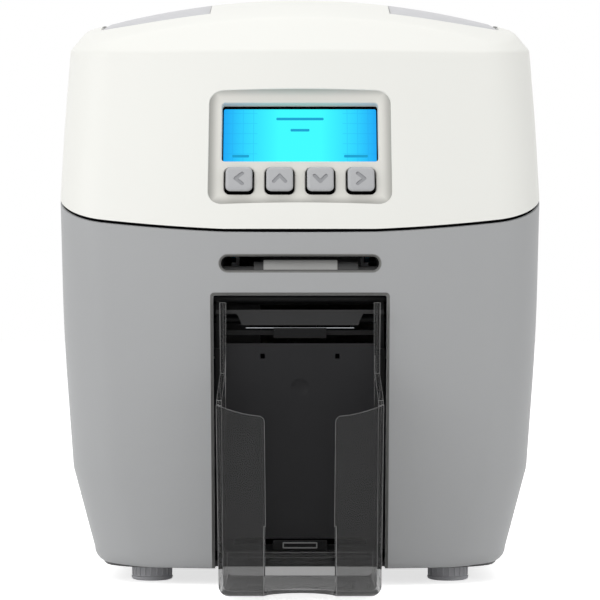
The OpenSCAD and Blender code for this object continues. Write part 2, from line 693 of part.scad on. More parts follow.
// Gear across the depth and height plane, its axis along the width
module gear(y, z, teeth, a, bore) {
    translate([gear_x, y, z]) rotate([90, 0, 90]) difference() {
        linear_extrude(gear_w) gear_profile(teeth, a);
        translate([0, 0, -1]) cylinder(h = gear_w + 2, r = bore);
        if (teeth > 18) for (k = [0:3]) rotate(45 + 90 * k) translate([teeth * gear_m / 4 + 0.6, 0, -1])
            cylinder(h = gear_w + 2, r = 1.6);
    }
}
roller_half = 27.5;
module path_roller(y) {
    bar(-roller_half, 2 * roller_half, y, axis_z, roller_r);
    bar(gear_x - 1.5, chassis_half_w + chassis_t + 3 - gear_x + 1.5, y, axis_z, shaft_r);
}
module platen_roller() color("#2a2a2c") path_roller(platen_yy);
module platen_gear() color("#e9e6da") gear(platen_yy, axis_z, gear_teeth, 0, shaft_r);
module front_transport_roller() color("#3a3a3c") path_roller(platen_yy - transport_off);
module rear_transport_roller() color("#3a3a3c") path_roller(platen_yy + transport_off);
module front_transport_gear() color("#e9e6da")
    gear(platen_yy - transport_off, axis_z, gear_teeth, 180 / gear_teeth, shaft_r);
module rear_transport_gear() color("#e9e6da")
    gear(platen_yy + transport_off, axis_z, gear_teeth, 180 / gear_teeth, shaft_r);
axle_r = 2;
module front_idler_gear() color("#e9e6da")
    gear(platen_yy - idler_off, axis_z, idler_teeth, 180, axle_r + run_gap);
module rear_idler_gear() color("#e9e6da")
    gear(platen_yy + idler_off, axis_z, idler_teeth, 0, axle_r + run_gap);
module idler_axles() color("#b9bcc0") for (s = [-1, 1]) {
    bar(gear_x - 1.5, gear_w + chassis_t + 2.5, platen_yy + s * idler_off, axis_z, axle_r);
    bar(gear_x - 1.5, 1, platen_yy + s * idler_off, axis_z, axle_r + 1.2);
}
// Angle of the idler tooth nearest straight down, and the pinion tooth that lets it in
idler_step = 360 / idler_teeth;
idler_down = -90 - (180 + idler_step * round((-270) / idler_step));
module motor_pinion() color("#c9b06a") {
    y = platen_yy - idler_off;
    turn = 90 + idler_down * idler_teeth / pinion_teeth * -1 * -1 + 180 / pinion_teeth;
    gear(y, motor_z, pinion_teeth, turn, motor_shaft_r);
    bar(gear_x - 1, -chassis_half_w + 6 - gear_x + 1, y, motor_z, motor_shaft_r);
}
motor_shaft_r = 2;
motor_size = 28;
motor_len = 30;
module feed_motor() color("#2c2c2e") {
    y = platen_yy - idler_off;
    difference() {
        union() {
            translate([-chassis_half_w + 0, y - motor_size / 2, motor_z - motor_size / 2])
                cube([motor_len, motor_size, motor_size]);
        }
        bar(-chassis_half_w - 5, 15, y, motor_z, motor_shaft_r + run_gap);
    }
}

module chassis_profile() {
    polygon([
        [front_y + 62, floor_z + 5], [front_y + 262, floor_z + 5], [front_y + 262, 132],
        [front_y + 224, 152], [front_y + 224, 163], [front_y + 180, 163], [front_y + 172, 140],
        [front_y + 128, 140], [front_y + 122, 160], [front_y + 78, 160], [front_y + 78, 134],
        [front_y + 8, 134], [front_y + 8, 96], [front_y + 62, 96]
    ]);
}
module chassis_plate(side) difference() {
    sideways(side > 0 ? chassis_half_w : -chassis_half_w - chassis_t, chassis_t) chassis_profile();
    for (k = [-1, 0, 1]) bar(-70, 140, platen_yy + k * transport_off, axis_z, shaft_r + run_gap);
    if (side < 0) {
        for (k = [-1, 1]) bar(-70, 30, platen_yy + k * idler_off, axis_z, axle_r);
        bar(-70, 30, platen_yy - idler_off, motor_z, motor_shaft_r + 1);
    }
    // Cradles that the spools drop into
    for (k = [-1, 1]) {
        bar(-70, 140, platen_yy + k * spool_off, spool_z, hub_r + run_gap);
        translate([-70, platen_yy + k * spool_off - hub_r - run_gap, spool_z]) cube([140, 2 * (hub_r + run_gap), 30]);
    }
    for (p = rod_places) bar(-70, 140, p[0], p[1], rod_r);
    sideways(-70, 140) translate([front_y + 200, 60]) round_rect(70, 60, 8);
}
hub_r = 3.5;
rod_r = 2.5;
rod_places = [[front_y + 14, 119], [front_y + 255, 120], [front_y + 108, 66], [front_y + 255, 30]];
module chassis_left() color("#9aa0a6") chassis_plate(-1);
module chassis_right() color("#9aa0a6") chassis_plate(1);
module chassis_rods() color("#b9bcc0") for (p = rod_places)
    bar(-chassis_half_w - chassis_t, 2 * (chassis_half_w + chassis_t), p[0], p[1], rod_r);

module deck() color("#3b3b3e") difference() {
    translate([0, 0, deck_z]) linear_extrude(deck_t) polygon(case_ring(body_w / 2 - 2, wall + 0.2));
    translate([gear_x - 6, front_y + 74, deck_z - 1])
        cube([chassis_half_w + chassis_t + 7 - gear_x + 5, 192, 10]);
}

// ---- ribbon ----
module spool(y, film_r) {
    bar(-28.5, 57, y, spool_z, film_r);
    for (s = [-1, 1]) bar(s * 30 - 1, 2, y, spool_z, 17);
    bar(-38, 76, y, spool_z, 6);
    bar(-chassis_half_w - chassis_t - 1, 2 * (chassis_half_w + chassis_t + 1), y, spool_z, hub_r);
    for (s = [-1, 1]) bar(s * 43 - 3, 6, y, spool_z, 7.5);
}
module supply_spool() color("#7a2f8f") spool(platen_yy + spool_off, supply_film_r);
module takeup_spool() color("#2f3a8f") spool(platen_yy - spool_off, takeup_film_r);
film_t = 0.4;
module ribbon_film() color("#c23a52") sideways(-28, 56) {
    y0 = platen_yy - spool_off + takeup_film_r + gap;
    y1 = platen_yy + spool_off - supply_film_r - gap;
    polygon([
        [y0, spool_z], [platen_yy - 14, path_z + 2.2], [platen_yy + 14, path_z + 2.2], [y1, spool_z],
        [y1 - film_t, spool_z + 0.4], [platen_yy + 14 - film_t, path_z + 2.2 + film_t],
        [platen_yy - 14 + film_t, path_z + 2.2 + film_t], [y0 + film_t, spool_z + 0.4]
    ]);
}

// ---- print head, under the lid ----
module printhead() color("#8a8f94") translate([-32, platen_yy - 5, path_z + 3.4]) difference() {
    cube([64, 12, 7]);
    for (s = [-1, 1]) translate([32 + s * 27, 6, 3.5]) cube([1.6, 20, 2], center = true);
}
module printhead_carrier() color("#2e3033") {
    translate([-35, platen_yy - 8, path_z + 10.4]) difference() {
        cube([70, 20, 5]);
        for (s = [-1, 1]) translate([35 + s * 28, 10, -1]) cylinder(h = 10, r = 1.6);
    }
    // Two legs up to the frame in the lid
    for (s = [-1, 1]) translate([s * 32 - 2, platen_yy - 6, path_z + 15]) cube([4, 16, frame_z - path_z - 15]);
}
module heat_sink() color("#b4b8bc") translate([-26, platen_yy - 7, path_z + 15.4]) {
    cube([52, 18, 3]);
    for (i = [0:7]) translate([0.5 + i * 7, 0, 2.5]) cube([2, 18, 12]);
}
frame_z = 205;
module lid_inner_frame() color("#d9d9d6") {
    difference() {
        translate([0, 0, frame_z]) linear_extrude(2)
            polygon(ring(edge_half_w - 4, front_y + 40, rear_y - 14, 320, 20, 10));
        for (y = [200, 250, 300]) translate([0, front_y + y, frame_z]) round_slot(120, 14);
    }
    for (s = [-1, 1], y = [front_y + 90, front_y + 290]) translate([s * 60, y, frame_z + 1])
        cylinder(h = crown_at(60 + 4, y - (y < 0 ? 4 : 0)) - wall - gap - frame_z - 1.2, r = 4);
}
module round_slot(w, d) { translate([0, 0, -1]) linear_extrude(5) round_rect(w, d, d / 2 - 0.1); }

// ---- electronics ----
module main_board() color("#1f6b3a") {
    translate([-56, rear_y - 118, 30]) cube([112, 96, 1.6]);
    for (x = [-30, 20], y = [-90, -60]) translate([x, rear_y + y, 31.5]) cube([14, 14, 2]);
    for (x = [-50, 50], y = [-112, -28]) translate([x, rear_y + y, floor_z]) cylinder(h = 30 - floor_z, r = 3);
}
module power_supply() color("#a8abb0") {
    translate([57, rear_y - 165, floor_z]) cube([24, 115, 60]);
}
module power_inlet() color("#1b1b1d") difference() {
    union() {
        translate([-47.7, rear_y - 20, 34.3]) cube([27.4, 20, 19.4]);
        translate([-49, rear_y - 5.9, 33]) cube([30, 1, 22]);
    }
    translate([-44.7, rear_y - 15, 37.3]) cube([21.4, 20, 13.4]);
}
module usb_socket() color("#c9ccd0") difference() {
    translate([4.3, rear_y - 16, 34.3]) cube([12, 15.5, 11]);
    translate([5.8, rear_y - 10, 35.8]) cube([9, 15, 8]);
}
module ethernet_socket() color("#c9ccd0") difference() {
    translate([24.3, rear_y - 21, 33.3]) cube([16, 20.5, 14]);
    translate([26.3, rear_y - 14, 35.3]) cube([12, 16, 10]);
}

// ---- feet ----
module at_feet() for (x = [-1, 1], y = [front_y + foot_front, rear_y - foot_rear])
    translate([x * foot_x, y, 0]) children();
module rubber_feet() color("#4a4a4c") at_feet() difference() {
    rotate_extrude() polygon([
        [0, 0], [foot_d / 2 - 1, 0], [foot_d / 2, 1], [foot_d / 2, foot_h - 0.8],
        [foot_d / 2 - 0.8, foot_h], [0, foot_h]
    ]);
    translate([0, 0, -1]) cylinder(h = 3.5, r = 3.4);
    cylinder(h = 30, r = 2);
}
module foot_screws() color("#8d9094") at_feet() {
    translate([0, 0, 1]) cylinder(h = 1.5, r = 3.2);
    translate([0, 0, 1.5]) cylinder(h = 12, r = 1.9);
}

base_tray();
lower_housing();
rear_panel();
lid();
lid_inlay();
lid_inner_frame();
control_bezel();
lcd_glass();
lcd_module();
control_board();
button_left();
button_up();
button_down();
button_right();
slot_trim();
entry_roller();
entry_roller_bracket();
card_tray();
hopper_door();
hopper_latch();
card_magazine();
pick_roller();
exit_roller();
exit_bracket();
deck();
chassis_left();
chassis_right();
chassis_rods();
platen_roller();
platen_gear();
front_transport_roller();
front_transport_gear();
rear_transport_roller();
rear_transport_gear();
front_idler_gear();
rear_idler_gear();
idler_axles();
feed_motor();
motor_pinion();
supply_spool();
takeup_spool();
ribbon_film();
printhead();
printhead_carrier();
heat_sink();
main_board();
power_supply();
power_inlet();
usb_socket();
ethernet_socket();
hinge_pins();
rubber_feet();
foot_screws();
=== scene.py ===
"""Looks of a desktop card printer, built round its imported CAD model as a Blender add-on script."""

import math

import bmesh
import bpy
import numpy as np
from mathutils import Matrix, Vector
from mathutils.geometry import delaunay_2d_cdt


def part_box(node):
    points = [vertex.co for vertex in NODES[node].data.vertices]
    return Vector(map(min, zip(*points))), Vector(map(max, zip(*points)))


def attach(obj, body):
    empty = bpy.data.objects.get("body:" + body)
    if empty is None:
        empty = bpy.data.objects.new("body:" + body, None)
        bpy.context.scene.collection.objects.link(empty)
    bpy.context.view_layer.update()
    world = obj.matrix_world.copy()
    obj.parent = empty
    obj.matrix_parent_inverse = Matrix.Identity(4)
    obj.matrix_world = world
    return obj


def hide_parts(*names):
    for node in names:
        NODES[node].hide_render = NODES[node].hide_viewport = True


bl_info = {
    "name": "Card printer looks",
    "version": (1, 0, 0),
    "blender": (4, 5, 0),
    "location": "View3D > Sidebar > Card printer",
    "description": "Shells, control panel, hopper and finishes of a desktop card printer",
    "category": "Object",
}

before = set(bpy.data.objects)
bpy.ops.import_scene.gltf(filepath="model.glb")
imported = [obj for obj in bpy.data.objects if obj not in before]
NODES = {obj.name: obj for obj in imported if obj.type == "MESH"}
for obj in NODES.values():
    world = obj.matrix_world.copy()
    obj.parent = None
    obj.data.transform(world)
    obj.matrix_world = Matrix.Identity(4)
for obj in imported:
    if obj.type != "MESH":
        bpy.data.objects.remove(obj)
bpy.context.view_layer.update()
MM = 0.001


# ---------------------------------------------------------------- sizes from the frame, in mm
def node_box(name):
    """Lowest and highest corner of a CAD node, in millimetres."""
    low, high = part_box(name)
    return np.array(low) / MM, np.array(high) / MM


HOUSING_LOW, HOUSING_HIGH = node_box("lower_housing")
LID_LOW, LID_HIGH = node_box("lid")
PIN_LOW, PIN_HIGH = node_box("hinge_pins")
TRAY_LOW, TRAY_HIGH = node_box("card_tray")
DOOR_LOW, DOOR_HIGH = node_box("hopper_door")
LATCH_LOW, LATCH_HIGH = node_box("hopper_latch")
FRONT_Y = LID_LOW[1]
REAR_Y = PIN_LOW[1] + (PIN_HIGH[1] - PIN_LOW[1]) / 2
BODY_W = HOUSING_HIGH[0] - HOUSING_LOW[0]
FLOOR_Z = HOUSING_LOW[2]
CROWN_Z = LID_HIGH[2]


def size(name, text, default, low, high):
    """Property for one length in millimetres."""
    return bpy.props.FloatProperty(name=name, description=text + ", mm", default=default, min=low, max=high)


def colour(name, text, default):
    """Property for one sRGB hex value."""
    return bpy.props.StringProperty(name=name, description=text, default=default)


class PrinterSizes(bpy.types.PropertyGroup):
    """Sizes of the casing and its openings."""

    wall: size("Wall", "Thickness of the casing walls", 2.6, 2.0, 3.5)
    seam_gap: size("Seam gap", "Open gap between lid and casing", 1.45, 0.5, 1.6)
    edge_round: size("Edge round", "Radius of the lid's crisp edge", 1.2, 0.4, 3.0)
    rim_round: size("Rim round", "Radius of the rims along the seam", 0.3, 0.2, 1.0)
    panel_w: size("Panel width", "Width of the control panel", 76.0, 70.0, 80.0)
    panel_h: size("Panel height", "Height of the control panel along the slope", 53.2, 50.0, 58.0)
    button_pitch: size("Button pitch", "Distance from button to button", 17.0, 14.0, 19.0)


class PrinterColours(bpy.types.PropertyGroup):
    """Colours of the finishes, as sRGB hex values."""

    lid: colour("Lid", "White of the lid", "#EBEBE6")
    casing: colour("Casing", "Grey of the lower casing", "#A7A8A9")
    inlay: colour("Top panel", "Grey of the panel in the lid's top", "#C4C4C7")
    bezel: colour("Bezel", "Grey of the control bezel", "#DDDCD6")
    button: colour("Buttons", "Grey of the push buttons", "#B0B1B3")
    smoke: colour("Smoked plastic", "Tint of the card tray", "#B4B4B4")


# ---------------------------------------------------------------- casing formulas, in mm
BOW_R = 335.0
CORNER_R = 26.0
REAR_CORNER_R = 14.0
BASE_HALF_W = BODY_W / 2 - 14.9
CREASE_Z = 47.3
CREASE_HALF_W = BODY_W / 2 - 5.7
CREASE_ROUND = 1.6
WAIST_Z = 104.0
WAIST_HALF_W = BODY_W / 2 - 1.5
WAIST_ROUND = 20
FOOT_IN = 6.3
FOOT_BACK = 1.4
FOOT_UP = 6.8
FOOT_Z = FLOOR_Z - 2.4
FOOT_ROUND = 1.8
SEAM_Z = 146.0
SEAM_RISE = 34.0
SEAM_RUN = 120.0
SEAM_POWER = 1.65
EDGE_Z = 224.6
EDGE_HALF_W = BODY_W / 2 - 1.2
EDGE_BACK = 36.0
EDGE_RISE = 4.6
EDGE_RUN = 50.0
LID_BULGE = 0.4
LID_BULGE_ROUND = 14
BEVEL_FRONT = 1.0
BEVEL_SIDE = 0.7
BEVEL_ROUND = 2.2
CROWN_R = 330.0
SHOULDER_R = 97.0
SHOULDER_END = 98.7
REAR_SHOULDER_R = 130.0
REAR_SHOULDER_START = 40.0
BOW_STEPS, CORNER_STEPS, SIDE_STEPS, REAR_STEPS = 40, 18, 44, 10
SHARP = 32


def plan_ring(w, yf, yr, rb, rc, rr):
    """Plan outline with a bowed front and round corners, counter-clockwise from the middle of the front."""
    a = math.asin((w - rc) / (rb - rc))
    yc = yf + rb - (rb - rc) * math.cos(a)
    ys = yr - rr
    half = []
    for i in range(1, BOW_STEPS + 1):
        t = a * i / BOW_STEPS
        half.append((rb * math.sin(t), yf + rb - rb * math.cos(t)))
    for i in range(1, CORNER_STEPS + 1):
        t = a + (math.pi / 2 - a) * i / CORNER_STEPS
        half.append((w - rc + rc * math.sin(t), yc - rc * math.cos(t)))
    for i in range(1, SIDE_STEPS + 1):
        # Closer together at the front, where the seam climbs
        half.append((w, yc + (ys - yc) * (i / (SIDE_STEPS + 1)) ** 1.4))
    for i in range(REAR_STEPS + 1):
        t = math.pi / 2 * i / REAR_STEPS
        half.append((w - rr + rr * math.cos(t), ys + rr * math.sin(t)))
    return np.array([(0.0, yf)] + half + [(0.0, yr)] + [(-x, y) for x, y in reversed(half)])


def case_ring(w, inset):
    """Casing outline with half width w, drawn in on every side."""
    return plan_ring(w - inset, FRONT_Y + inset, REAR_Y - inset, BOW_R - inset, CORNER_R - inset,
                     REAR_CORNER_R - inset)


def edge_ring(up, inset):
    """Lid outline at its crisp edge and, higher up, on its bevel."""
    return plan_ring(EDGE_HALF_W - BEVEL_SIDE * up - inset, FRONT_Y + EDGE_BACK + BEVEL_FRONT * up + inset,
                     REAR_Y - 4 - BEVEL_SIDE * up - inset, BOW_R - inset, CORNER_R - inset,
                     REAR_CORNER_R - inset)


def climb(y, start, run, rise):
    """Height gained at a depth by a line that climbs from its start and levels off."""
    t = np.clip((y - FRONT_Y - start) / run, 0, 1)
    return rise * (1 - (1 - t) ** SEAM_POWER)


def on_seam(ring, up):
    """Ring at the height of the seam between casing and lid, up millimetres above it."""
    return np.column_stack([ring, SEAM_Z + climb(ring[:, 1], 1.5, SEAM_RUN - 1.5, SEAM_RISE) + up])


def edge_at(y):
    """Height of the lid's crisp edge: it climbs round the front corners."""
    return EDGE_Z + climb(y, EDGE_BACK + 8, EDGE_RUN, EDGE_RISE)


def on_edge(ring, up):
    return np.column_stack([ring, edge_at(ring[:, 1]) + up])


def at_z(ring, z):
    return np.column_stack([ring, np.full(len(ring), float(z))])


def crown_at(x, y):
    """Height of the lid's crown: a shallow arch with round shoulders at front and rear."""
    drop = 0
    for r, into in ((SHOULDER_R, FRONT_Y + SHOULDER_END - y),
                    (REAR_SHOULDER_R, y - REAR_Y + REAR_SHOULDER_START)):
        drop = drop + r - np.sqrt(np.maximum(0, r ** 2 - np.maximum(0, into) ** 2))
    return CROWN_Z - x * x / (2 * CROWN_R) - drop


def middle(a, b):
    """Ring half way between two others, a little fuller at the sides."""
    return (a + b) / 2 * (1 + LID_BULGE / (BODY_W / 2), 1, 1)


def top_ring(inset):
    """Ring along which the lid's bevel meets its crown."""
    base = edge_ring(0, inset)
    slope = (edge_ring(20, inset) - base) / 20
    edge = edge_at(base[:, 1])
    up = np.full(len(base), 12.0)
    # The height is where bevel and crown agree, found step by step
    for _ in range(40):
        p = base + slope * up[:, None]
        up = crown_at(p[:, 0], p[:, 1]) - edge - inset / 2
    return np.column_stack([base + slope * up[:, None], edge - inset / 2 + up])


CROWN_MID = np.array([0.0, (FRONT_Y + REAR_Y) / 2 + 20])


def crown_ring(top, k, inset):
    """Smaller copy of the top ring, lying on the crown."""
    xy = CROWN_MID + (top[:, :2] - CROWN_MID) * k
    return np.column_stack([xy, crown_at(xy[:, 0], xy[:, 1]) - inset])


def rounded(rings, radii, steps=5):
    """Replaces ring i by a rounded corner of radii[i] mm between its neighbours."""
    out = []
    for i, ring in enumerate(rings):
        if i not in radii:
            out.append(ring)
            continue
        before, after = rings[i - 1] - ring, rings[i + 1] - ring
        start = ring + before / np.linalg.norm(before, axis=1)[:, None] * radii[i]
        end = ring + after / np.linalg.norm(after, axis=1)[:, None] * radii[i]
        for t in np.arange(steps + 1) / steps:
            out.append((1 - t) ** 2 * start + 2 * t * (1 - t) * ring + t * t * end)
    return out


# ---------------------------------------------------------------- mesh tools
def link(name, data):
    """New object in the scene, at the origin."""
    piece = bpy.data.objects.new(name, data)
    bpy.context.scene.collection.objects.link(piece)
    return piece


def new_piece(name, verts, faces, smooth_angle=30):
    """Makes an object from points in millimetres, with faces outwards."""
    mesh = bpy.data.meshes.new(name)
    mesh.from_pydata([tuple(np.asarray(v) * MM) for v in verts], [], faces)
    bm = bmesh.new()
    bm.from_mesh(mesh)
    bmesh.ops.remove_doubles(bm, verts=bm.verts, dist=1e-6)
    bmesh.ops.recalc_face_normals(bm, faces=bm.faces)
    bm.to_mesh(mesh)
    bm.free()
    piece = link(name, mesh)
    soften(piece, smooth_angle)
    return piece


def soften(piece, angle=30):
    """Smooth shading with sharp edges past an angle."""
    mesh = piece.data
    mesh.polygons.foreach_set("use_smooth", [True] * len(mesh.polygons))
    mesh.set_sharp_from_angle(angle=math.radians(angle))
    mesh.update()


def bands(count, n, close):
    """Quads between rings of n points; the last ring joins the first if close."""
    faces = []
    for r in range(count if close else count - 1):
        a, b = r * n, (r + 1) % count * n
        faces += [(a + i, a + (i + 1) % n, b + (i + 1) % n, b + i) for i in range(n)]
    return faces


def tube_piece(name, rings, smooth_angle=30):
    """Closed wall of rings: the last ring joins the first."""
    return new_piece(name, np.concatenate(rings), bands(len(rings), len(rings[0]), True), smooth_angle)


def capped_piece(name, rings, smooth_angle=30, poles=False):
    """Closed solid of rings with both ends filled, or drawn to their middle points."""
    n = len(rings[0])
    verts = np.concatenate(rings)
    faces = bands(len(rings), n, False)
    last = (len(rings) - 1) * n
    if poles:
        c = len(verts)
        verts = np.vstack([verts, rings[0].mean(axis=0), rings[-1].mean(axis=0)])
        for i in range(n):
            j = (i + 1) % n
            faces += [(c, j, i), (c + 1, last + i, last + j)]
    else:
        faces += [tuple(reversed(range(n))), tuple(last + i for i in range(n))]
    return new_piece(name, verts, faces, smooth_angle)


def cut(piece, cutters, smooth_angle=30):
    """Takes the cutters out of a piece and deletes them."""
    for cutter in cutters:
        mod = piece.modifiers.new("cut", "BOOLEAN")
        mod.operation = "DIFFERENCE"
        mod.solver = "EXACT"
        mod.object = cutter
        bake(piece)
        bpy.data.objects.remove(cutter, do_unlink=True)
    soften(piece, smooth_angle)


def bake(piece):
    """Applies a piece's modifiers to its mesh."""
    bpy.context.view_layer.update()
    evaluated = piece.evaluated_get(bpy.context.evaluated_depsgraph_get())
    mesh = bpy.data.meshes.new_from_object(evaluated)
    piece.modifiers.clear()
    old = piece.data
    piece.data = mesh
    bpy.data.meshes.remove(old)


def merged(name, pieces, smooth_angle=30):
    """Joins several pieces into one object."""
    verts, faces = [], []
    for piece in pieces:
        start = len(verts)
        verts += [np.array(v.co) / MM for v in piece.data.vertices]
        faces += [tuple(start + i for i in p.vertices) for p in piece.data.polygons]
        bpy.data.objects.remove(piece, do_unlink=True)
    return new_piece(name, verts, faces, smooth_angle)


def round_rect(w, h, r, grow=0.0, cx=0.0, cy=0.0, steps=8, extra=0):
    """Rectangle with round corners, grown outwards, with extra points along its top and foot."""
    w, h, r = w + 2 * grow, h + 2 * grow, max(r + grow, 0.05)
    points = []
    for k, (sx, sy) in enumerate(((1, 1), (-1, 1), (-1, -1), (1, -1))):
        for i in range(steps + 1):
            t = math.pi / 2 * (k + i / steps)
            points.append((cx + sx * (w / 2 - r) + r * math.cos(t), cy + sy * (h / 2 - r) + r * math.sin(t)))
        if k in (0, 2):
            points += [(cx + sx * x, cy + sy * h / 2)
                       for x in np.linspace(w / 2 - r, r - w / 2, extra + 2)[1:-1]]
    return np.array(points)


def stack(name, outline, levels, place, smooth_angle=30):
    """Closed solid of outlines: outline(grow) at each (grow, height), set in space by place."""
    return capped_piece(name, [place(outline(grow), height) for grow, height in levels], smooth_angle)


def hoop(name, outline, levels, place, smooth_angle=30):
    """Closed ring of outlines, set in space as stack does."""
    return tube_piece(name, [place(outline(grow), height) for grow, height in levels], smooth_angle)


def prism(name, points, place, start, end):
    """Solid of one outline pushed from start to end."""
    return stack(name, lambda grow: np.array(points, dtype=float), [(0, start), (0, end)], place)


def block(name, low, high):
    """Plain box used as a cutter."""
    (x0, y0, z0), (x1, y1, z1) = low, high
    verts = [(x, y, z) for x in (x0, x1) for y in (y0, y1) for z in (z0, z1)]
    faces = [(0, 1, 3, 2), (4, 6, 7, 5), (0, 4, 5, 1), (2, 3, 7, 6), (0, 2, 6, 4), (1, 5, 7, 3)]
    return new_piece(name, verts, faces)


def circle(r, steps):
    """Points of a circle round the origin."""
    t = np.arange(steps) * 2 * math.pi / steps
    return np.column_stack([r * np.cos(t), r * np.sin(t)])


def turned(name, profile, y, z, steps, smooth_angle=30):
    """Closed solid turned round an axis across the width, from (place, radius) pairs."""
    rings = [np.column_stack([np.full(steps, float(x)), circle(r, steps) + (y, z)]) for x, r in profile]
    return capped_piece(name, rings, smooth_angle)


# ---------------------------------------------------------------- places: outline points to space
LEAN = math.atan(EDGE_BACK / (EDGE_Z - SEAM_Z))
PANEL_Z = 183.8
PANEL_Y = FRONT_Y + (PANEL_Z - SEAM_Z) * math.tan(LEAN)
PANEL_UP = np.array([0.0, math.sin(LEAN), math.cos(LEAN)])
PANEL_OUT = np.array([0.0, -math.cos(LEAN), math.sin(LEAN)])


def sag(points):
    """How far the bowed front lies behind its foremost line, by the place across the width."""
    return BOW_R - np.sqrt(BOW_R ** 2 - points[:, 0] ** 2)


def on_panel(points, out):
    """Points across and up the sloping control face, out millimetres in front of it."""
    p = np.zeros((len(points), 3))
    p[:, 0] = points[:, 0]
    p += np.array([0.0, PANEL_Y, PANEL_Z]) + points[:, 1:2] * PANEL_UP + out * PANEL_OUT
    return p


def on_bowed_panel(points, out):
    """The same, measured from the bowed face of the lid."""
    return on_panel(points, 0) + (out - sag(points) * math.cos(LEAN))[:, None] * PANEL_OUT


def on_dish(points, share):
    """Points on the sunk face, raised by a share of the way to just under the lid's bowed face."""
    reach = -sag(points) * math.cos(LEAN) - 0.12 + PANEL_SINK
    return on_panel(points, 0) + (share * reach - PANEL_SINK)[:, None] * PANEL_OUT


def on_front(points, out):
    """Points across and up the upright front, out millimetres in front of the front plane."""
    return np.column_stack([points[:, 0], np.full(len(points), FRONT_Y - out), points[:, 1]])


def on_bowed_front(points, out):
    """The same, measured from the bowed face of the casing."""
    return np.column_stack([points[:, 0], FRONT_Y + sag(points) - out, points[:, 1]])


def sideways(points, x):
    """Points of depth behind the front face and height, at a place across the width."""
    return np.column_stack([np.full(len(points), x), FRONT_Y + points[:, 0], points[:, 1]])


# ---------------------------------------------------------------- materials
def linear(code):
    """sRGB hex value to linear colour with alpha."""
    values = [int(code[i:i + 2], 16) / 255 for i in (1, 3, 5)]
    return tuple(v / 12.92 if v <= 0.04045 else ((v + 0.055) / 1.055) ** 2.4 for v in values) + (1.0,)


def add(tree, kind, inputs=None, **settings):
    """Adds one node with its settings; each input gets a value or the output of another node."""
    item = tree.nodes.new(kind)
    for key, value in settings.items():
        setattr(item, key, value)
    for key, value in (inputs or {}).items():
        if isinstance(value, bpy.types.NodeSocket):
            tree.links.new(value, item.inputs[key])
        else:
            item.inputs[key].default_value = value
    return item


def blank(name):
    """New material and its empty node tree."""
    material = bpy.data.materials.new(name)
    material.use_nodes = True
    material.node_tree.nodes.clear()
    return material, material.node_tree


def axes(tree):
    """Outputs X, Y and Z of the place on the object, and the distance from its middle plane."""
    place = add(tree, "ShaderNodeTexCoord")
    axis = add(tree, "ShaderNodeSeparateXYZ", {"Vector": place.outputs["Object"]})
    side = add(tree, "ShaderNodeMath", {0: axis.outputs["X"]}, operation="ABSOLUTE")
    return axis.outputs, side.outputs[0]


def show(tree, shader):
    add(tree, "ShaderNodeOutputMaterial", {"Surface": shader.outputs[0]})


def finish(name, hue, roughness, grain_mm=0.0, bump_mm=0.0, shade=0.0, metal=0.0, ior=1.5, coat=0.0,
           see_through=0.0, stretch=(1, 1, 1), glow=0.0):
    """Shader of one finish: size and height of its surface grain, and the variation of its colour."""
    material, tree = blank(name)
    shader = add(tree, "ShaderNodeBsdfPrincipled", {
        "Base Color": linear(hue), "Roughness": roughness, "Metallic": metal, "IOR": ior,
        "Coat Weight": coat, "Coat Roughness": 0.12, "Transmission Weight": see_through})
    show(tree, shader)
    if glow:
        shader.inputs["Emission Color"].default_value = linear(hue)
        shader.inputs["Emission Strength"].default_value = glow
    if not grain_mm:
        return material
    place = add(tree, "ShaderNodeTexCoord")
    mapping = add(tree, "ShaderNodeMapping", {"Vector": place.outputs["Object"], "Scale": stretch})
    # Noise has about one bump per unit of scale, and the model is in metres
    noise = add(tree, "ShaderNodeTexNoise", {"Vector": mapping.outputs[0], "Scale": 1 / (grain_mm * MM),
                                             "Detail": 3.0})
    if bump_mm:
        bump = add(tree, "ShaderNodeBump", {"Height": noise.outputs["Fac"], "Strength": 1.0,
                                            "Distance": bump_mm * MM})
        tree.links.new(bump.outputs[0], shader.inputs["Normal"])
    spread = add(tree, "ShaderNodeMapRange", {"Value": noise.outputs["Fac"],
                                              "To Min": max(0.02, roughness - 0.06),
                                              "To Max": min(1.0, roughness + 0.06)})
    tree.links.new(spread.outputs[0], shader.inputs["Roughness"])
    if shade:
        broad = add(tree, "ShaderNodeTexNoise", {"Vector": mapping.outputs[0], "Scale": 18.0, "Detail": 2.0})
        base = linear(hue)[:3]
        blend = add(tree, "ShaderNodeMix", {"Factor": broad.outputs["Fac"],
                                            6: tuple(c * (1 - shade) for c in base) + (1.0,),
                                            7: tuple(min(1, c * (1 + shade)) for c in base) + (1.0,)},
                    data_type="RGBA")
        tree.links.new(blend.outputs[2], shader.inputs["Base Color"])
    return material


MATERIALS = {}


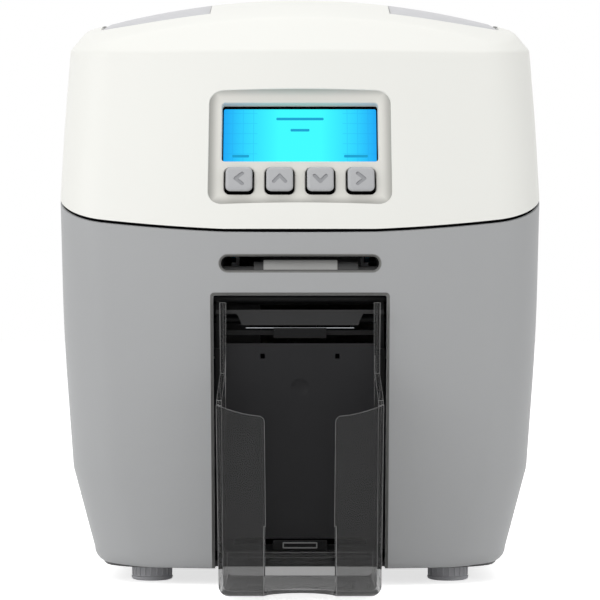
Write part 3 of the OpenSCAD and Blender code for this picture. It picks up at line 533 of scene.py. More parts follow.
def make_materials(colours):
    """Every finish of the printer, named for the real material."""
    MATERIALS.update(
        # Moulded ABS with a fine spark-eroded texture: soft, wide highlights
        lid_white=finish("white_moulded_abs", colours.lid, 0.42, 0.45, 0.006, 0.01),
        housing_grey=finish("grey_moulded_abs", colours.casing, 0.5, 0.5, 0.012, 0.02),
        inlay_grey=finish("pale_grey_moulded_abs", colours.inlay, 0.4, 0.5, 0.008, 0.01),
        bezel_grey=bezel_material("warm_grey_eroded_abs_painted_rim_shade", colours.bezel),
        button_grey=finish("grey_button_abs", colours.button, 0.38, 0.4, 0.006, 0.01),
        engraving=finish("dark_grey_button_abs", "#96979A", 0.5, 0.4, 0.006),
        # Darker grey for the rims round the mouth and the slot: painted shade on the casing's bevels
        rim_grey=finish("casing_bevel_painted_shade", "#7A7A78", 0.5, 0.5, 0.01, 0.02),
        dark_plastic=finish("black_moulded_abs", "#1B1B1D", 0.48, 0.5, 0.012, 0.05),
        deck_plastic=finish("charcoal_moulded_abs", "#37383B", 0.55, 0.6, 0.02, 0.05),
        frame_white=finish("off_white_moulded_abs", "#D2D2CF", 0.5, 0.6, 0.012, 0.02),
        latch_grey=finish("grey_glossy_abs", "#6E6E6E", 0.3, 0.4, 0.004),
        # Smoked polycarbonate: dark but see-through, with a clear gloss; its rounded edges are pale grey, a
        # painted highlight
        smoked_plastic=finish("smoked_polycarbonate", colours.smoke, 0.05, ior=1.2, see_through=0.98),
        smoked_edge=finish("polished_smoked_edge", "#A8A8A8", 0.12),
        smoked_door=finish("dark_smoked_polycarbonate", "#161618", 0.42, 0.6, 0.004, 0.03, ior=1.3),
        # Black nylon, a little glossier on the guide; deep in the mouth the near-lightless black is painted
        # shade, even on the steel rods
        mouth_black=finish("black_nylon_and_painted_mouth_shade", "#0C0C0D", 0.5, 0.5, 0.008, 0.05, ior=1.25),
        guide_black=finish("black_moulded_nylon", "#1A1A1B", 0.35, 0.5, 0.006, 0.05, ior=1.4),
        # Ground rubber: matte with fine grinding marks round the roller
        rubber=finish("ground_black_rubber", "#202022", 0.75, 0.5, 0.02, 0.08, stretch=(0.3, 1, 1)),
        foot_rubber=finish("grey_foot_rubber", "#C4C4C8", 0.7, 0.6, 0.02, 0.06),
        # The pale roller's glow is painted light, which brightens it in the shade of the slot
        roller_grey=finish("pale_silicone_rubber_painted_glow", "#CCCCCA", 0.5, 0.5, 0.01, 0.04, stretch=(0.3, 1, 1),
                           glow=0.12),
        roller_core=finish("grey_roller_core", "#6A6A6A", 0.5, 0.5, 0.01, 0.04, stretch=(0.3, 1, 1)),
        # Ground, plated, turned and extruded metal: fine scratches, and spangle on the zinc
        steel=finish("ground_steel", "#B9BCC0", 0.28, 0.3, 0.004, 0.04, metal=1.0, stretch=(6, 1, 1)),
        zinc_plate=finish("zinc_plated_sheet_steel", "#A4A9AE", 0.36, 3.0, 0.01, 0.1, metal=1.0),
        brass=finish("turned_brass", "#C6A866", 0.3, 0.3, 0.004, 0.04, metal=1.0),
        aluminium=finish("extruded_aluminium", "#BCC0C4", 0.33, 0.4, 0.006, 0.05, metal=1.0,
                         stretch=(1, 0.15, 1)),
        motor_black=finish("black_enamelled_steel", "#1D1D1F", 0.35, 0.8, 0.01, 0.05),
        gear_nylon=finish("natural_nylon", "#E4E1D5", 0.45, 0.8, 0.01, 0.03),
        # Circuit board under solder resist: glossy green lacquer
        board_green=finish("green_solder_resist", "#1B5E35", 0.3, 2.0, 0.01, 0.15, coat=0.5),
        film=dye_film("ribbon_dye_film"),
        display=display_material("lit_display"),
        display_ink=finish("display_ink", "#147FA6", 0.6, ior=1.12, glow=0.7),
        # Near black: painted shade in the seam, the slot channel, the button wells and under the button caps;
        # also the display's black frame
        seam_black=finish("black_painted_shade_and_display_frame", "#050506", 0.95, 0.6, 0.01, ior=1.1),
    )


def bezel_material(name, hue):
    """Coarse eroded ABS, darker towards its rim, where the surface curls up to the lid: the darkening is
    painted shade.
    """
    material = finish(name, hue, 0.55, 0.5, 0.035)
    tree = material.node_tree
    shader = next(item for item in tree.nodes if item.type == "BSDF_PRINCIPLED")
    axis, side = axes(tree)
    top, foot = (PANEL_Z + s * 27.1 * math.cos(LEAN) for s in (1, -1))
    rim_shade = 0.0
    for source, start, end in ((side, 33.8, 38.6), (axis["Z"], top - 4.5, top + 0.5),
                               (axis["Z"], foot + 3, foot - 1.5)):
        share = add(tree, "ShaderNodeMapRange", {"Value": source, "From Min": start * MM,
                                                 "From Max": end * MM}, interpolation_type="SMOOTHSTEP")
        rim_shade = add(tree, "ShaderNodeMath", {0: share.outputs[0], 1: rim_shade}, operation="MAXIMUM").outputs[0]
    # Painted shade: the colour turns a darker grey near the rim
    blend = add(tree, "ShaderNodeMix", {"Factor": rim_shade, 6: linear(hue), 7: linear("#A3A29D")},
                data_type="RGBA")
    tree.links.new(blend.outputs[2], shader.inputs["Base Color"])
    return material


def dye_film(name):
    """Dye film: glossy panels of yellow, magenta, cyan and black that follow each other along the film."""
    material, tree = blank(name)
    axis, _ = axes(tree)
    four_panels = 4 * 62 * MM
    panel = add(tree, "ShaderNodeMath", {0: axis["Y"], 1: 1 / four_panels}, operation="MULTIPLY")
    part = add(tree, "ShaderNodeMath", {0: panel.outputs[0]}, operation="FRACT")
    hue = ramp(tree, part.outputs[0], ((0.0, "#C9A300"), (0.25, "#B01E6A"), (0.5, "#0F7FA8"),
                                       (0.75, "#1A1A1C")), "CONSTANT")
    show(tree, add(tree, "ShaderNodeBsdfPrincipled", {"Base Color": hue, "Roughness": 0.22}))
    return material


def ramp(tree, source, stops, interpolation="LINEAR"):
    """Colour that follows a value through (place, hex value) stops."""
    item = add(tree, "ShaderNodeValToRGB", {"Fac": source})
    item.color_ramp.interpolation = interpolation
    elements = item.color_ramp.elements
    elements.remove(elements[1])
    for i, (position, code) in enumerate(stops):
        stop = elements.new(position) if i else elements[0]
        stop.position, stop.color = position, linear(code)
    return item.outputs["Color"]


def display_material(name):
    """Lit display: bright cyan in the middle, blue at the sides, under a faint grid of pixel cells."""
    material, tree = blank(name)
    axis, side = axes(tree)
    spread = add(tree, "ShaderNodeMapRange", {"Value": side, "From Min": 9 * MM, "From Max": 33 * MM})
    hue = ramp(tree, spread.outputs[0], ((0.0, "#40FCFF"), (0.62, "#2CD2FF"), (1.0, "#1BA4F6")))
    # Faint darker lines between the pixel cells, only towards the sides
    cell = 4.4 * MM
    lines = []
    for source, offset in ((axis["X"], 0.5), (axis["Z"], 0.2)):
        step = add(tree, "ShaderNodeMath", {0: source, 1: 1 / cell, 2: offset}, operation="MULTIPLY_ADD")
        part = add(tree, "ShaderNodeMath", {0: step.outputs[0]}, operation="FRACT")
        lines.append(add(tree, "ShaderNodeMath", {0: part.outputs[0], 1: 0.08}, operation="LESS_THAN"))
    either = add(tree, "ShaderNodeMath", {0: lines[0].outputs[0], 1: lines[1].outputs[0]},
                 operation="MAXIMUM")
    outer = add(tree, "ShaderNodeMath", {0: side, 1: 18 * MM}, operation="GREATER_THAN")
    faint = add(tree, "ShaderNodeMath", {0: either.outputs[0], 1: outer.outputs[0]}, operation="MULTIPLY")
    faint = add(tree, "ShaderNodeMath", {0: faint.outputs[0], 1: 0.2}, operation="MULTIPLY")
    mix = add(tree, "ShaderNodeMix", {"Factor": faint.outputs[0], 6: hue, 7: linear("#1E8FE0")},
              data_type="RGBA")
    show(tree, add(tree, "ShaderNodeBsdfPrincipled", {
        "Emission Color": mix.outputs[2], "Base Color": linear("#06141B"), "Emission Strength": 1.0,
        "Roughness": 0.4, "IOR": 1.12}))
    return material


def dress(piece, slot, body, replaces=(), material=None, keep=False):
    """Gives a piece its finish, its body and hides the CAD nodes it stands for; slot names the finish when no
    material is given.
    """
    if not keep:
        piece.data.materials.clear()
        piece.data.materials.append(MATERIALS[material or slot])
    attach(piece, body)
    if replaces:
        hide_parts(*replaces)


def dress_node(name, material):
    """Gives a CAD node that stays its finish."""
    node = NODES[name]
    if not node.material_slots:
        node.data.materials.append(MATERIALS[material])
    for item in node.material_slots:
        item.material = MATERIALS[material]


# ---------------------------------------------------------------- pieces
BOW_POINTS = 14
MOUTH_TOP = 120.0
MOUTH_HALF_W = 36.0
SLOT_Z = 133.3
SLOT_W = 65.2
SLOT_H = 5.4
SLOT_RIM = 1.15
PANEL_R = 5.6
PANEL_DOWN = 0.8
PANEL_SINK = 3.2
PANEL_BACK = -PANEL_SINK - 4
LCD_W = 66.0
LCD_H = 27.9
LCD_UP = 7.2
SCREEN = -PANEL_SINK - 3.2
BUTTON_W = 11.2
BUTTON_H = 11.1
BUTTON_DOWN = 16.1
BUTTON_GAP = 0.6
BUTTON_TOP = -PANEL_SINK + 2.5
BUTTONS = (("left", -1.5, 180), ("up", -0.5, 90), ("down", 0.5, -90), ("right", 1.5, 0))
KNUCKLE_R = 4.99
KNUCKLE_ROOM = 0.6
HINGE_X = 69.0
HINGE_Z = SEAM_Z + SEAM_RISE + 0.5
# Middle and half length of each hinge knuckle
CASE_KNUCKLES = [(s * HINGE_X + k * 14.5, 5) for s in (-1, 1) for k in (-1, 1)]
LID_KNUCKLES = [(s * HINGE_X, 9) for s in (-1, 1)]


def mouth_outline(grow, steps=8):
    """Front opening: a little narrower at the bottom, round at its two top corners, open at the foot."""
    r = 0.9 + 0.6 * grow
    half, top, foot = MOUTH_HALF_W + grow, MOUTH_TOP + grow, -5.0
    points = []
    for k, sx in enumerate((1, -1)):
        for i in range(steps + 1):
            t = math.pi / 2 * (k + i / steps)
            points.append((sx * (half - r) + r * math.cos(t), top - r + r * math.sin(t)))
        if k == 0:
            points += [(x, top) for x in np.linspace(half - r, r - half, BOW_POINTS + 2)[1:-1]]
    low = half - 0.9 * (top - foot) / (MOUTH_TOP - foot)
    return np.array(points + [(-low, foot), (low, foot)])


def slot_outline(grow):
    return round_rect(SLOT_W, SLOT_H, SLOT_H / 2 - 0.05, grow, 0, SLOT_Z, extra=BOW_POINTS)


def knuckle_room(places, gap):
    """Cutters that free the hinge knuckles of the other shell."""
    r = KNUCKLE_R + KNUCKLE_ROOM
    return [turned("notch", [(x - half - gap, r), (x + half + gap, r)], REAR_Y, HINGE_Z, 32)
            for x, half in places]


def add_knuckles(piece, places):
    """Adds separate round knuckles, with softened ends, to a shell."""
    ends = ((0, 0.5), (0.15, 0.15), (0.5, 0))
    for x, half in places:
        profile = [(x - half + into, KNUCKLE_R - less) for into, less in ends]
        profile += [(x + half - into, KNUCKLE_R - less) for into, less in reversed(ends)]
        knuckle = turned("knuckle", profile, REAR_Y, HINGE_Z, 40)
        bm = bmesh.new()
        bm.from_mesh(piece.data)
        bm.from_mesh(knuckle.data)
        bm.to_mesh(piece.data)
        bm.free()
        bpy.data.objects.remove(knuckle, do_unlink=True)
    soften(piece, SHARP)


class PRINTER_OT_casing(bpy.types.Operator):
    """Makes the grey lower casing with its soft crease, mouth and slot."""

    bl_idname = "printer.casing"
    bl_label = "Lower casing"

    def execute(self, context):
        sizes = context.scene.printer_sizes
        wall, rim, half = sizes.wall, sizes.rim_round, BODY_W / 2
        rings = []
        for t in np.linspace(0, math.pi / 2, 7):
            share = 1 - math.sin(t)
            rings.append(at_z(case_ring(BASE_HALF_W - FOOT_IN * share, FOOT_BACK * share),
                              FOOT_Z + FOOT_UP * (1 - math.cos(t))))
        crease = len(rings)
        rings += [
            at_z(case_ring(CREASE_HALF_W, 0), CREASE_Z),
            at_z(case_ring(WAIST_HALF_W, 0), WAIST_Z),
            on_seam(case_ring(half, 0), 0),
            on_seam(case_ring(half, wall), 0),
            at_z(case_ring(WAIST_HALF_W, wall), WAIST_Z),
            at_z(case_ring(CREASE_HALF_W, wall), CREASE_Z),
            at_z(case_ring(BASE_HALF_W, wall), FLOOR_Z + FOOT_ROUND),
            at_z(case_ring(BASE_HALF_W - FOOT_IN - FOOT_ROUND, wall), FOOT_Z),
        ]
        radii = {crease: CREASE_ROUND, crease + 1: WAIST_ROUND, crease + 2: rim, crease + 3: rim}
        piece = tube_piece("lower_casing_shell", rounded(rings, radii), SHARP)
        cutters = [
            stack("mouth_cut", mouth_outline, [(0, -16), (0, -1.3), (1.25, 0.05), (1.9, 3)], on_bowed_front),
            stack("slot_cut", slot_outline, [(SLOT_RIM, -8), (SLOT_RIM, 3)], on_bowed_front),
            block("rear_cut", (-60, REAR_Y - 10, FLOOR_Z + 12), (60, REAR_Y + 10, FLOOR_Z + 72)),
        ]
        cut(piece, cutters + knuckle_room(LID_KNUCKLES, 0.3), SHARP)
        add_knuckles(piece, CASE_KNUCKLES)
        dress(piece, "housing_grey", "chassis", ["lower_housing"])
        self.seam_strip(wall)
        self.mouth_trim()
        self.slot_trim()
        return {"FINISHED"}

    def seam_strip(self, wall):
        """Black strip in the seam, just behind the two rims: painted shade in the open gap."""
        outer, inner = case_ring(BODY_W / 2, 0.9), case_ring(BODY_W / 2, wall - 0.3)
        section = ((outer, -1.2), (outer, 1.3), (inner, 1.3), (inner, -1.2))
        strip = tube_piece("seam_strip", [on_seam(ring, up) for ring, up in section])
        dress(strip, "dark_plastic", "chassis", material="seam_black")

    def mouth_trim(self):
        """Rim in painted shade, darker than the casing, that runs up, across and down round the front
        opening.
        """
        sections = []
        for grow, out in ((1.15, 0.04), (0.1, -1.15), (0.1, -2.7), (1.15, -2.7)):
            foot = MOUTH_HALF_W + grow - 0.8
            path = np.vstack([[(foot, FLOOR_Z - 2.2)], mouth_outline(grow)[:-2], [(-foot, FLOOR_Z - 2.2)]])
            sections.append(on_bowed_front(path, out))
        n = len(sections[0])
        faces = [(a * n + i, a * n + i + 1, b * n + i + 1, b * n + i)
                 for a, b in ((0, 1), (1, 2), (2, 3), (3, 0)) for i in range(n - 1)]
        faces += [(0, n, 2 * n, 3 * n), (n - 1, 2 * n - 1, 3 * n - 1, 4 * n - 1)]
        trim = new_piece("mouth_trim", np.concatenate(sections), faces, 40)
        dress(trim, "housing_grey", "chassis", material="rim_grey")

    def slot_trim(self):
        """Bevelled rim of the hand feed slot and the black channel behind it, both in painted shade."""
        levels = ((1.1, -2.6), (1.1, 0.02), (0.8, 0.06), (0.1, -1.1), (0.1, -2.6))
        rim = hoop("slot_rim", slot_outline, levels, on_bowed_front, 40)
        dress(rim, "dark_plastic", "chassis", ["slot_trim"], material="rim_grey")
        levels = ((0.6, -1.3), (0, -1.12), (0, -6.8), (1.4, -6.8), (1.4, -3.4), (0.6, -3.4))
        # The black channel is painted shade inside the slot
        channel = hoop("slot_channel", slot_outline, levels, on_bowed_front, 40)
        dress(channel, "dark_plastic", "chassis", material="seam_black")


INLAY_HALF_W = 87.0
INLAY_FRONT = FRONT_Y + 63.0
INLAY_REAR = REAR_Y - 52.0
INLAY_DEPTH = 1.2
INLAY_BOW = 8
TAB_HALF_W = 39.5
TAB_LEN = 30.0
TAB_R = 5.0
CROWN_STEPS = (0.985, 0.965, 0.94, 0.91, 0.87, 0.83, 0.79, 0.74, 0.68, 0.6, 0.5, 0.38, 0.25, 0.12)


def inlay_outline(grow):
    """Grey top panel in plan: bowed front and rear edges, and a white tab let into its front edge."""
    y0, y1, w = INLAY_FRONT - grow, INLAY_REAR + grow, INLAY_HALF_W + grow
    tab_w, tab_y, r = TAB_HALF_W - grow, INLAY_FRONT + TAB_LEN - grow, TAB_R
    front = [(w * i / 24, y0 + INLAY_BOW * abs(i / 24) ** 6) for i in range(-24, 25)]
    edge = y0 + INLAY_BOW * (tab_w / w) ** 6
    turn = np.linspace(0, math.pi / 2, 7)
    tab = [(-tab_w, edge)]
    tab += [(-tab_w + r - r * math.cos(t), tab_y - r + r * math.sin(t)) for t in turn]
    tab += [(tab_w - r + r * math.cos(t), tab_y - r + r * math.sin(t)) for t in turn[::-1]]
    tab += [(tab_w, edge)]
    rear = [(w * i / 24, y1 - INLAY_BOW * abs(i / 24) ** 6) for i in range(24, -25, -1)]
    # Only the front points outside the tab, as many for every grow
    return np.array(front[:13] + tab + front[-13:] + rear)


def crown_stack(name, levels):
    """Plate that follows the crown, from (grow, height above it) levels, with two faces of a fine net."""
    verts = []
    for grow, up in levels:
        xy = inlay_outline(grow)
        verts += list(np.column_stack([xy, crown_at(xy[:, 0], xy[:, 1]) + up]))
    n = len(xy)
    faces = bands(len(levels), n, False)
    for start, (grow, up) in ((0, levels[0]), ((len(levels) - 1) * n, levels[-1])):
        rim = inlay_outline(grow)
        net = [(x, y) for x in np.arange(-84, 85, 5.6) for y in np.arange(INLAY_FRONT + 3, INLAY_REAR, 6.0)]
        net = [p for p in net if np.min(np.hypot(rim[:, 0] - p[0], rim[:, 1] - p[1])) > 1.8]
        points = [Vector(p) for p in list(rim) + net]
        # Mode 1 keeps only the triangles inside the outline
        out = delaunay_2d_cdt(points, [(i, (i + 1) % n) for i in range(n)], [], 1, 1e-4)
        index = []
        for point, origin in zip(out[0], out[3]):
            on_rim = [k for k in origin if k < n]
            index.append(start + on_rim[0] if on_rim else len(verts))
            if not on_rim:
                verts.append((point[0], point[1], float(crown_at(point[0], point[1])) + up))
        faces += [tuple(index[k] for k in face) for face in out[2]]
    return new_piece(name, verts, faces, SHARP)


class PRINTER_OT_lid(bpy.types.Operator):
    """Makes the white lid: sloped control face, crisp edge, bevel and shallow crown."""

    bl_idname = "printer.lid"
    bl_label = "Lid"

    def execute(self, context):
        sizes = context.scene.printer_sizes
        wall, rim, gap, half = sizes.wall, sizes.rim_round, sizes.seam_gap, BODY_W / 2
        top, inside = top_ring(0), top_ring(wall)
        edge_out, edge_in = on_edge(edge_ring(0, 0), 0), on_edge(edge_ring(0, wall), -wall / 2)
        seam_out, seam_in = on_seam(case_ring(half, 0), gap), on_seam(case_ring(half, wall), gap)
        rings = [crown_ring(top, k, 0) for k in reversed(CROWN_STEPS)]
        first = len(rings)
        rings += [top, edge_out, middle(edge_out, seam_out), seam_out, seam_in, middle(edge_in, seam_in),
                  edge_in, inside]
        rings += [crown_ring(inside, k, wall) for k in CROWN_STEPS]
        radii = {first: BEVEL_ROUND, first + 1: sizes.edge_round, first + 2: LID_BULGE_ROUND,
                 first + 3: rim, first + 4: rim}
        piece = capped_piece("lid_shell", rounded(rings, radii), SHARP, poles=True)
        cutters = [
            stack("panel_cut", lambda grow: panel_outline(sizes, grow + 0.3),
                  [(0, -12), (0, -0.3), (0.06, -0.1), (0.2, 0.02), (0.7, 3)], on_bowed_panel),
            crown_stack("inlay_cut", [(0.15, -INLAY_DEPTH - 0.1), (0.15, -0.35), (0.5, 0.05), (0.9, 3)]),
        ]
        cut(piece, cutters + knuckle_room(CASE_KNUCKLES, 0.2), SHARP)
        add_knuckles(piece, LID_KNUCKLES)
        dress(piece, "lid_white", "lid", ["lid"])
        return {"FINISHED"}


class PRINTER_OT_top_panel(bpy.types.Operator):
    """Lets the pale grey panel into the lid's top."""

    bl_idname = "printer.top_panel"
    bl_label = "Top panel"

    def execute(self, context):
        piece = crown_stack("top_panel", [(0, -INLAY_DEPTH), (0, -0.35), (-0.35, -0.02)])
        soften(piece, 40)
        dress(piece, "inlay_grey", "lid", ["lid_inlay"])
        return {"FINISHED"}


def panel_outline(sizes, grow):
    return round_rect(sizes.panel_w, sizes.panel_h, PANEL_R, grow, 0, -PANEL_DOWN, extra=BOW_POINTS)


def display_outline(less, r, grow, down=0.0, flat=0.0):
    """Outline of the display, less millimetres smaller, lowered and flattened."""
    return round_rect(LCD_W - less, LCD_H - less - flat, r, grow, 0, LCD_UP - down)


def hole_outline(x, grow):
    return round_rect(BUTTON_W + 2 * BUTTON_GAP, BUTTON_H + 2 * BUTTON_GAP, 2.4, grow, x, -BUTTON_DOWN)


class PRINTER_OT_control_panel(bpy.types.Operator):
    """Makes the recessed bezel, the lit display and the four push buttons."""

    bl_idname = "printer.control_panel"
    bl_label = "Control panel"

    def execute(self, context):
        sizes = context.scene.printer_sizes
        face, back = -PANEL_SINK, PANEL_BACK
        # The rim curls up from the sunk face to just under the lid's bowed face
        curl = [(0.28, 0.9), (0.28, 1), (-0.5, 0.62), (-1.2, 0.36), (-2.2, 0.15), (-3.4, 0.04), (-4.6, 0)]
        rings = [on_panel(panel_outline(sizes, 0), back)]
        rings += [on_dish(panel_outline(sizes, grow), share) for grow, share in curl]
        bezel = capped_piece("control_bezel_plate", rings, 40)
        cutters = [stack("window_cut", lambda grow: display_outline(0, 1.5, grow),
                         [(-0.5, back - 3), (0, face - 1.4), (0, face - 0.35), (0.35, face + 0.02),
                          (1.0, face + 2)], on_panel)]
        for _, i, _ in BUTTONS:
            cutters.append(stack("hole_cut", lambda grow, i=i: hole_outline(i * sizes.button_pitch, grow),
                                 [(0, back - 3), (0, face - 0.4), (0.4, face + 0.02), (1, face + 2)],
                                 on_panel))
        cut(bezel, cutters, SHARP)
        w, h = sizes.panel_w, sizes.panel_h
        flange = prism("flange", round_rect(w + 6, h + 4, PANEL_R + 1), on_panel, back - 0.02, back - 1.2)
        cut(flange, [prism("flange_cut", round_rect(w - 3, h - 3, 3), on_panel, back - 3, back + 1)])
        dress(merged("control_bezel_frame", [bezel, flange], SHARP), "bezel_grey", "lid", ["control_bezel"])
        self.display()
        # Black liners of the four button holes: painted shade in the gaps round the caps
        levels = ((0.02, back + 0.2), (0.02, face - 0.3), (-0.14, face - 0.3), (-0.14, back + 0.2))
        shade_liners = [hoop("liner", lambda grow, i=i: hole_outline(i * sizes.button_pitch, grow), levels,
                       on_panel) for _, i, _ in BUTTONS]
        dress(merged("button_wells", shade_liners, 40), "dark_plastic", "lid", material="seam_black")
        for name, i, turn in BUTTONS:
            self.button(name, i * sizes.button_pitch, turn)
        return {"FINISHED"}

    def display(self):
        """Lit screen, a thin black frame on it, widest at its top, and generic marks in place of words."""
        screen = stack("display_screen", lambda grow: display_outline(0.6, 1.2, grow),
                       [(0, SCREEN - 0.35), (0, SCREEN - 0.15), (-0.1, SCREEN)], on_panel)
        dress(screen, "display", "lid", ["lcd_glass"])
        rim = stack("display_frame", lambda grow: display_outline(0.4, 1.2, grow),
                    [(0, SCREEN - 0.1), (0, SCREEN + 0.25)], on_panel)
        cut(rim, [stack("frame_cut", lambda grow: display_outline(1.4, 0.8, grow, 0.45, 0.5),
                        [(0, SCREEN - 1.8), (0, SCREEN + 3.2)], on_panel)])
        dress(rim, "dark_plastic", "lid", material="seam_black")
        # Two centred bars and a soft key bar in each lower corner: place and width
        bars = [stack("mark", lambda grow, x=x, up=up, w=w: round_rect(w, 1.2, 0.3, grow, x, LCD_UP + up, 2),
                      [(0, SCREEN - 0.02), (0, SCREEN + 0.04)], on_panel)
                for x, up, w in ((0, 7.9, 20), (0, 2.5, 8), (-25.0, -9.9, 7), (23.6, -9.9, 10))]
        dress(merged("display_bars", bars), "display", "lid", material="display_ink")

    def button(self, name, x, turn):
        """One rounded button cap on a black skirt of painted shade, with a chevron sunk into its face."""
        back, top, body = PANEL_BACK, BUTTON_TOP, f"button_{name}"

        def outline(grow):
            return round_rect(BUTTON_W, BUTTON_H, 2.2, grow, x, -BUTTON_DOWN)

        def mark(grow):
            return chevron(x, -BUTTON_DOWN, turn, grow)

        # The skirt is near black: painted shade under and beside the raised cap
        levels = [(1.3, back - 2.1), (1.3, back - 0.9), (-0.12, back - 0.85), (-0.12, top - 1.0)]
        skirt = stack(f"button_skirt_{name}", outline, levels, on_panel, 40)
        dress(skirt, "dark_plastic", body, material="seam_black")
        levels = [(-0.05, top - 1.1), (0, top - 1.0), (0, top - 0.8), (-0.12, top - 0.45), (-0.5, top - 0.13),
                  (-1.2, top)]
        cap = stack(f"button_cap_{name}", outline, levels, on_panel, 40)
        cut(cap, [stack("groove", mark, [(0, top - 0.4), (0, top - 0.12), (0.12, top + 1)], on_panel)], 40)
        dress(cap, "button_grey", body, [body])
        floor = stack(f"chevron_{name}", mark, [(0, top - 0.42), (0, top - 0.36)], on_panel)
        dress(floor, "button_grey", body, material="engraving")


def chevron(cx, cy, turn, grow):
    """Chevron with round ends, 6 mm tall and 4.4 mm wide, pointing along its turn."""
    half = 0.78 + grow
    tip, ends = np.array([1.45, 0.0]), (np.array([-1.35, 2.4]), np.array([-1.35, -2.4]))
    first, second = (math.atan2(*(end - tip)[::-1]) for end in ends)

    def arc(centre, start, sweep, steps):
        return [centre + half * np.array([math.cos(start + sweep * k / steps),
                                          math.sin(start + sweep * k / steps)]) for k in range(steps + 1)]

    # Round the tip outside, run to each end and round it, and meet inside the bend
    points = arc(tip, second + math.pi / 2, first - second - math.pi, 6)
    points += arc(ends[0], first - math.pi / 2, math.pi, 8)
    spread = (first - second) % (2 * math.pi)
    points.append(tip - np.array([half / math.sin(spread / 2), 0]))
    points += arc(ends[1], second - math.pi / 2, math.pi, 8)
    a = math.radians(turn)
    c, s = math.cos(a), math.sin(a)
    return np.array([(cx + x * c - y * s, cy + x * s + y * c) for x, y in points])


TRAY_REACH = FRONT_Y - TRAY_LOW[1]
TRAY_WALL = 1.8
TRAY_DRAFT = 1.5
TRAY_R = 4.2
LIP_Z = 77.5
LIP_DROP = 4.4
LIP_R = 2.6
FINGER_HALF_W = 13.8
NOTCH_R = 14.5
DISH_R = 10.2
DISH_DEPTH = 0.9


def tray_outline(inset, top):
    """Section of the card tray across its width: drafted sides and round lower corners."""
    foot, high_w, r = TRAY_LOW[2] + inset, TRAY_HIGH[0] - inset, max(TRAY_R - inset, 0.5)
    x, z = high_w - TRAY_DRAFT - r, foot + r
    points = [(high_w, top)]
    points += [(x + r * math.cos(t), z - r * math.sin(t)) for t in np.linspace(0, math.pi / 2, 9)]
    return np.array(points + [(-x, z) for x, z in reversed(points)])


def lip_side(side):
    """Lip of the tray's front wall on one side, from its outer end round into the finger gap."""
    half, inner = TRAY_HIGH[0], FINGER_HALF_W + LIP_R
    points = [(half + 1, LIP_Z + 50), (half + 1, LIP_Z + 0.3)]
    for t in np.linspace(0, 1, 9)[1:]:
        points.append((half + (inner - half) * t, LIP_Z - LIP_DROP * (1 - (1 - t) ** 1.5)))
    for t in np.linspace(0, math.pi / 2, 9)[1:]:
        points.append((inner - LIP_R * math.sin(t), LIP_Z - LIP_DROP - LIP_R * (1 - math.cos(t))))
    return [(side * x, z) for x, z in points]


def bevelled(piece, width, angle=35, segments=3, material=-1):
    """Cleans a cut piece and rounds its edges."""
    bm = bmesh.new()
    bm.from_mesh(piece.data)
    bmesh.ops.remove_doubles(bm, verts=bm.verts, dist=2e-5)
    bmesh.ops.dissolve_limit(bm, angle_limit=math.radians(1.5), verts=bm.verts, edges=bm.edges)
    bm.to_mesh(piece.data)
    bm.free()
    mod = piece.modifiers.new("edges", "BEVEL")
    mod.width = width * MM
    mod.segments = segments
    mod.limit_method = "ANGLE"
    mod.angle_limit = math.radians(angle)
    mod.material = material
    bake(piece)
    even_shading(piece)


def even_shading(piece, angle=30):
    """Smooth shading in which large flat faces stay flat."""
    soften(piece, angle)
    piece.modifiers.new("normals", "WEIGHTED_NORMAL").keep_sharp = True
    bake(piece)


